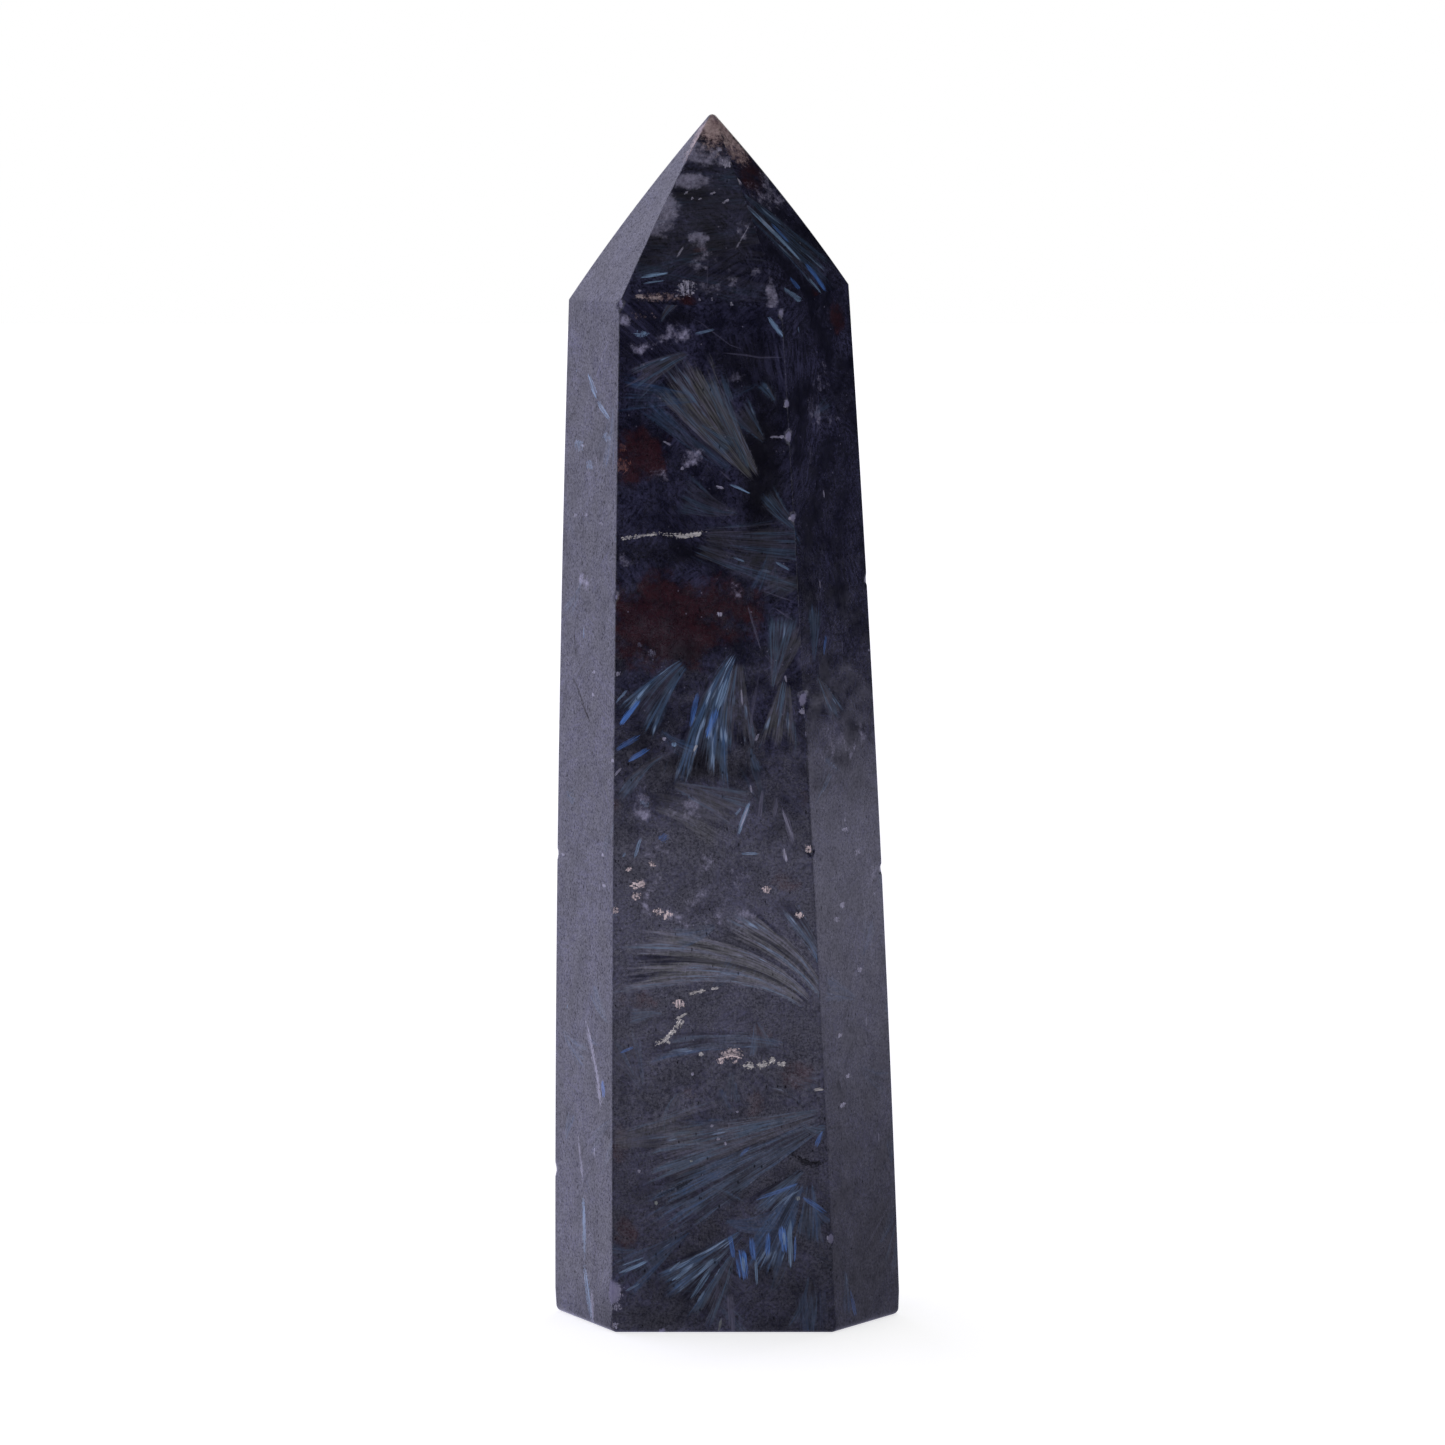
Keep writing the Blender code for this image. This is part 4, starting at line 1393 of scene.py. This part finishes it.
        chip = node("MapRange:SMOOTHSTEP", chip, 0.66, 0.95, 0.0, 0.9)
        held = node("MapRange", chipped, 0.0, 0.2)
        chip = node("Math:MULTIPLY", chip, held)
        worn = node("Math:MAXIMUM", worn, chip)
        colour = node("Mix:RGBA", worn, colour, linear(self.wear))
        matt = node("Math:MAXIMUM", worn, covers)
        sheen = node("TexNoise", place, Scale=0.7, Detail=8.0, Roughness=0.8)
        brushed = node("VectorMath:MULTIPLY", place, (6.0, 6.0, 0.5))
        brushed = node("TexNoise", brushed, Scale=1.0, Detail=3.0)
        dust = node("TexNoise", place, Scale=5.5, Detail=3.0, Roughness=0.75)
        gloss = node("MapRange", sheen, 0.34, 0.66, 0.18, 0.52)
        gloss = node("Math:MULTIPLY_ADD", brushed, 0.2, gloss)
        floor = node("MapRange", wear, 0.0, 1.0, 0.42, 0.12)
        dusty = node("MapRange", dust, 0.36, 0.6, floor, 1.2)
        gloss = node("Math:MULTIPLY", gloss, dusty)
        gloss = node("Mix", gaps, gloss, 0.1)
        gloss = node("Mix", pits, gloss, 0.0)
        rim = node("MapRange", edge, 0.15, 0.05, 0.0, 0.25)
        gloss = node("Mix", rim, gloss, 0.15)
        smoothest, roughest = self.roughness - 0.05, self.roughness + 0.06
        rough = node("MapRange", sheen, 0.3, 0.7, smoothest, roughest)
        rough = node("Math:MULTIPLY_ADD", matt, 0.3, rough)
        lines = node("VectorMath:MULTIPLY", place, (7.0, 7.0, 0.22))
        lines = node("TexNoise", lines, Scale=1.0, Detail=2.0)
        lines = node("Math:MULTIPLY_ADD", matt, -1.5, lines)
        relief = node("Bump", Strength=0.35, Distance=self.grind_depth * MM, Height=lines)
        skin = node(
            "BsdfPrincipled", Base_Color=colour, Roughness=rough, IOR=self.ior,
            Specular_IOR_Level=gloss, Normal=relief,
        )
        node("OutputMaterial", skin)
        return material


@dataclass
class CrystalTower:
    """The whole stone: its shape, what grew in it and its finish."""

    shape: StoneShape
    finish: HornblendeFinish
    strands: tuple[Strand, ...]
    marks: tuple[Mark, ...]
    clouds: tuple[Cloud, ...]
    polish_wear: float = 0.15
    edge_reach: float = 3.0
    cap: float = 0.012

    def mesh(self, points: Array) -> bpy.types.Mesh:
        """A closed mesh from the surface's rows and columns, with a point at each pole.

        The point in row i and column j has the number i times the columns plus j. The pole
        under the base and the pole at the tip come after them.

        Args:
            points: the surface by row and column, in millimetres.

        Returns:
            The mesh, in metres, with its faces pointing out.
        """
        rows, columns, _ = points.shape
        base = np.array([[0, 0, 0.0]])
        top = points[-1].mean(axis=0, keepdims=True) + np.array([[0, 0, self.cap]])
        every = np.concatenate([points.reshape(-1, 3), base, top]) * MM
        number = np.arange(rows * columns).reshape(rows, columns)
        after = np.roll(number, -1, axis=1)
        quads = np.stack([number[:-1], after[:-1], after[1:], number[1:]], axis=-1).reshape(-1, 4)
        under, over = rows * columns, rows * columns + 1
        low = np.stack([np.full(columns, under), after[0], number[0]], axis=-1)
        high = np.stack([number[-1], after[-1], np.full(columns, over)], axis=-1)
        mesh = bpy.data.meshes.new("hornblende_tower")
        mesh.from_pydata(every.tolist(), [], quads.tolist() + low.tolist() + high.tolist())
        mesh.shade_smooth()
        return mesh

    def put(self, mesh: bpy.types.Mesh, name: str, values: Array) -> None:
        """Stores a field on the mesh's points, with 0 at the two poles.

        Args:
            mesh: the mesh.
            name: the field's name, which the finish reads.
            values: three or four numbers a point.
        """
        whole = np.vstack([values, np.zeros((2, values.shape[1]))]).astype(np.float32)
        kind, key = ("FLOAT_VECTOR", "vector") if values.shape[1] == 3 else ("FLOAT_COLOR", "color")
        mesh.attributes.new(name, kind, "POINT").data.foreach_set(key, whole.ravel())

    def build(self) -> bpy.types.Object:
        """Builds and dresses the stone, and stands it in for the plain one.

        Returns:
            The stone's object.
        """
        points, facet, near = self.shape.surface()
        flat, facets = points.reshape(-1, 3), facet.ravel()
        mesh = self.mesh(points)
        inside = Inclusions(self.shape.across(flat, facets), flat[:, 2], facets)
        plans = (("strand", self.strands, STRAND_LAYERS), ("mark", self.marks, MARK_LAYERS))
        for name, items, count in plans:
            for number, (places, looks) in enumerate(inside.layers(items, count)):
                self.put(mesh, f"{name}_{number}", places)
                self.put(mesh, f"{name}_look_{number}", looks)
        self.put(mesh, "ground", inside.ground(self.clouds))
        dull = np.isin(facets, (Facet.LEFT_FRONT.value, Facet.LEFT_FRONT_TIP.value))
        wear = np.where(dull, 1.0, self.polish_wear)
        near = np.minimum(near.ravel(), self.edge_reach)
        fields = (near, self.shape.near_chip(flat), wear, np.ones(len(near)))
        self.put(mesh, "edges", np.column_stack(fields))
        stone = placed("hornblende_tower", mesh)
        mesh.materials.append(self.finish.material())
        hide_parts(NODE)
        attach(stone, "root")
        log.info("%s: %d points, %d faces", stone.name, len(mesh.vertices), len(mesh.polygons))
        return stone


@dataclass(frozen=True)
class Studio:
    """A white sheet on a table, with broad soft light, as small stones are photographed.

    The sheet is what the lower half of the stone reflects. Behind it on the left stands the
    white of the backdrop, which the left facets reflect, and the rest of the room is dark.
    A lamp has a name, a place, the side of its square and its watts.
    """

    sheet_left: float = -1.3
    sheet_right: float = 0.73
    sheet_front: float = -0.5
    sheet_back: float = 1.1
    room: float = 0.035
    backdrop: float = 1.5
    light_colour: str = "#e3e1ff"
    backdrop_way: Triple = (-0.78, 0.60, 0.14)
    lamps: tuple[tuple[str, Triple, float, float], ...] = (
        ("front_left_lamp", (-0.95, -0.95, 0.5), 1.3, 3.6),
        ("front_right_lamp", (0.95, -0.95, 0.5), 1.3, 3.2),
        ("top_lamp", (0.0, 0.25, 1.3), 0.5, 2.0),
        ("back_lamp", (0.5, 1.2, 0.6), 0.9, 3.0),
    )
    lamp_aim: Triple = (0, 0, 0.05)
    camera_distance: float = 0.700
    camera_elevation: float = 7.0
    camera_aim: Triple = (-0.000405, 0.0, 0.04952)
    focal_length: float = 209.95
    sensor_width: float = 36.0

    def sheet(self) -> None:
        """The white sheet of paper that the stone stands on."""
        left, right = self.sheet_left, self.sheet_right
        front, back = self.sheet_front, self.sheet_back
        corners = [(left, front, 0), (right, front, 0), (right, back, 0), (left, back, 0)]
        mesh = bpy.data.meshes.new("white_sheet")
        mesh.from_pydata(corners, [], [(0, 1, 2, 3)])
        sheet = placed("white_sheet", mesh)
        mesh.materials.append(self.paper())

    def paper(self) -> bpy.types.Material:
        """White paper, overexposed to the eye of the camera.

        What the stone mirrors of it is a glow with painted shade near the stone, except on the
        side that the backdrop lights: 0.35 + 1.55 (r / 0.42)^0.9 at r metres from the stone,
        down to three quarters of that to the stone's right.

        Returns:
            The material.
        """
        material = bpy.data.materials.new("white_paper")
        node = partial(add, emptied(material))
        place = node("TexCoord", out=3)
        far = node("VectorMath:LENGTH", place)
        far = node("MapRange", far, 0.0, 0.42)
        far = node("Math:POWER", far, 0.9)
        shaded = node("MapRange", far, 0.0, 1.0, 0.35, 1.9)
        lit = node("VectorMath:DOT_PRODUCT", place, (-0.7, 0.7, 0.0))
        lit = node("MapRange:SMOOTHSTEP", lit, -0.02, 0.03)
        # Painted shade: the mirrored glow is dimmer to the stone's right.
        right = node("SeparateXYZ", place)
        right = node("MapRange", right, 0.02, 0.08, 1.0, 0.75)
        shaded = node("Math:MULTIPLY", shaded, right)
        level = node("Mix", lit, shaded, 1.45)
        mirrored = node("Emission", linear(self.light_colour), level)
        white = node("BsdfDiffuse", linear("#f4f4f4"))
        glow = node("Emission", linear("#ffffff"), 0.72)
        seen = node("AddShader", white, glow)
        ray = node("LightPath")
        node("OutputMaterial", node("MixShader", ray, mirrored, seen))
        return material

    def world(self) -> None:
        """White behind the stone. What the stone reflects is a dark room and a pale backdrop.

        The backdrop is a soft round patch: it rises from nothing to full where the cosine of
        the angle from its middle goes from 0.62 to 0.84.
        """
        world = bpy.data.worlds.new("studio")
        bpy.context.scene.world = world
        node = partial(add, emptied(world))
        middle = tuple(Vector(self.backdrop_way).normalized())
        lean = node("VectorMath:DOT_PRODUCT", node("TexCoord"), middle)
        glow = node("MapRange:SMOOTHSTEP", lean, 0.62, 0.84, self.room, self.backdrop)
        seen = node("LightPath")
        light = node("Mix", seen, glow, 1.0)
        hue = node("Mix:RGBA", seen, linear(self.light_colour), linear("#ffffff"))
        node("OutputWorld", node("Background", hue, light))

    def light(self) -> None:
        """Broad soft lamps that face the stone."""
        for name, place, size, watts in self.lamps:
            light = bpy.data.lights.new(name, "AREA")
            light.shape, light.size, light.energy = "SQUARE", size, watts
            placed(name, light, place, Vector(self.lamp_aim) - Vector(place))

    def camera(self) -> None:
        """The photograph's view: long, level and slightly from above."""
        data = bpy.data.cameras.new("camera")
        data.lens, data.sensor_width = self.focal_length, self.sensor_width
        lift = math.radians(self.camera_elevation)
        back = Vector((0, -math.cos(lift), math.sin(lift)))
        place = Vector(self.camera_aim) + back * self.camera_distance
        bpy.context.scene.camera = placed("camera", data, place, -back)

    def build(self) -> None:
        """Sets the sheet, the light and the camera."""
        for part in (self.sheet, self.world, self.light, self.camera):
            part()
        view = bpy.context.scene.view_settings
        view.view_transform, view.look = "Standard", "None"
        log.info("studio: sheet, four lamps and camera")


def grown_inclusions(
    seed: int,
) -> tuple[tuple[Strand, ...], tuple[Mark, ...], tuple[Cloud, ...]]:
    """Sprays, marks and patches for the facets round the back, placed by seeded chance.

    They are as big and as many as on the front: sprays 6 to 18 mm long, each with a few
    blades along its needles whose flashes are painted into their colour, and flecks strung
    along cream veins. Every long facet also gets small faint sprays, and the side and back ones
    short scratches.

    Args:
        seed: the start of the random numbers.

    Returns:
        The sprays, the marks and the patches.
    """
    chance = Random(seed)
    between = chance.uniform
    sprays, patches, veins, faint, scratches = 9, 5, 2, 16, 16
    strands, marks, clouds = [], [], []
    half_width = {Facet.RIGHT_BACK: 6.0, Facet.BACK: 7.0, Facet.LEFT_BACK: 5.5}
    for facet, half in half_width.items():
        for number in range(sprays):
            up = 5 + 8.8 * number + between(-2, 2)
            side = chance.choice((-1, 1))
            focus = (side * between(0.3, 1.1) * half, up)
            heading = 90 + side * between(15, 75) if number % 2 else 270 - side * between(10, 70)
            reach = between(8, 17)
            blue, flash = between(0.2, 0.8), between(0.1, 0.45)
            spread = between(10, 24)
            bend = side * between(0, 30)
            strands.append(
                Strand(facet, focus, heading, spread, 1.5, reach, bend, blue, flash, 0.75)
            )
            for _ in range(chance.randint(1, 4)):
                turn = math.radians(heading + between(-0.6, 0.6) * spread + bend / 2)
                near = between(0.35, 0.8) * reach
                ends = (near, near + between(1.0, 2.8))
                path = tuple(
                    (focus[0] + r * math.cos(turn), focus[1] + r * math.sin(turn)) for r in ends
                )
                tint = chance.choice((Tint.BLUE, Tint.PALE, Tint.BLUE, Tint.GREY, Tint.IVORY))
                width = between(0.22, 0.6)
                marks.append(Mark(facet, path, width, tint, between(0.5, 0.95)))
        for _ in range(patches):
            middle = (between(-1, 1) * half, between(3, 84))
            spot = (between(1.0, 4.0), between(1.0, 3.5))
            kind = chance.choice((Ground.GARNET, Ground.GARNET, Ground.HAZE, Ground.DARK))
            clouds.append(Cloud(facet, middle, spot, kind, between(0.5, 0.8)))
        for _ in range(veins):
            across, up = between(-0.8, 0.1) * half, between(12, 78)
            tint = chance.choice((Tint.CREAM, Tint.PINK))
            for _ in range(chance.randint(4, 7)):
                end = (across + between(0.1, 1.6), up + between(-1.0, 1.1))
                path, width = ((across, up), end), between(0.2, 0.85)
                marks.append(Mark(facet, path, width, tint, between(0.5, 1.0), 1.0))
                across, up = end[0] + between(-0.2, 1.1), end[1]
    for facet in (Facet.RIGHT_BACK_TIP, Facet.BACK_TIP, Facet.LEFT_BACK_TIP):
        focus, heading = (between(-3, 3), 84.0), between(60, 120)
        strands.append(Strand(facet, focus, heading, 14, 1.5, 11, 10, 0.6, 0.4, 0.6))
        clouds.append(Cloud(facet, (between(-2, 2), 91.0), (2.2, 2.6), Ground.GARNET, 0.6))
    for facet in (Facet.FRONT, Facet.RIGHT_FRONT, Facet.LEFT_FRONT, *half_width):
        for _ in range(44 if facet is Facet.FRONT else faint):
            focus = (between(-8, 8), between(1, 84))
            heading, spread = between(0, 360), between(8, 26)
            reach, blue = between(2.5, 6.5), between(0.1, 0.7)
            strength, bend = between(0.2, 0.5), between(-30, 30)
            if not any(cloud.is_garnet_at(facet, focus) for cloud in CLOUDS):
                strands.append(
                    Strand(facet, focus, heading, spread, 0.4, reach, bend, blue, 0.15, strength)
                )
    for facet in (Facet.LEFT_FRONT, Facet.RIGHT_FRONT, *half_width):
        for _ in range(scratches):
            across, up = between(-5, 5), between(3, 83)
            length, lean = between(0.15, 1.1), between(-0.25, 0.25)
            path = ((across, up), (across + lean * length, up + length))
            tint = chance.choice((Tint.WHITE, Tint.GREY, Tint.GREY, Tint.PALE, Tint.DARK))
            marks.append(Mark(facet, path, between(0.16, 0.3), tint, between(0.4, 0.8), 0.2))
    return tuple(strands), tuple(marks), tuple(clouds)


def main() -> None:
    """Builds the stone in its studio and notes its size."""
    logging.basicConfig(level=logging.INFO, format="%(name)s: %(message)s")
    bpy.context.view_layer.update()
    strands, marks, clouds = grown_inclusions(seed=11)
    grown = (STRANDS + strands, MARKS + marks, CLOUDS + clouds)
    shape = StoneShape(chips=CHIPS, rim_chips=RIM_CHIPS)
    CrystalTower(shape, HornblendeFinish(), *grown).build()
    Studio().build()


if __name__ == "__main__":
    main()
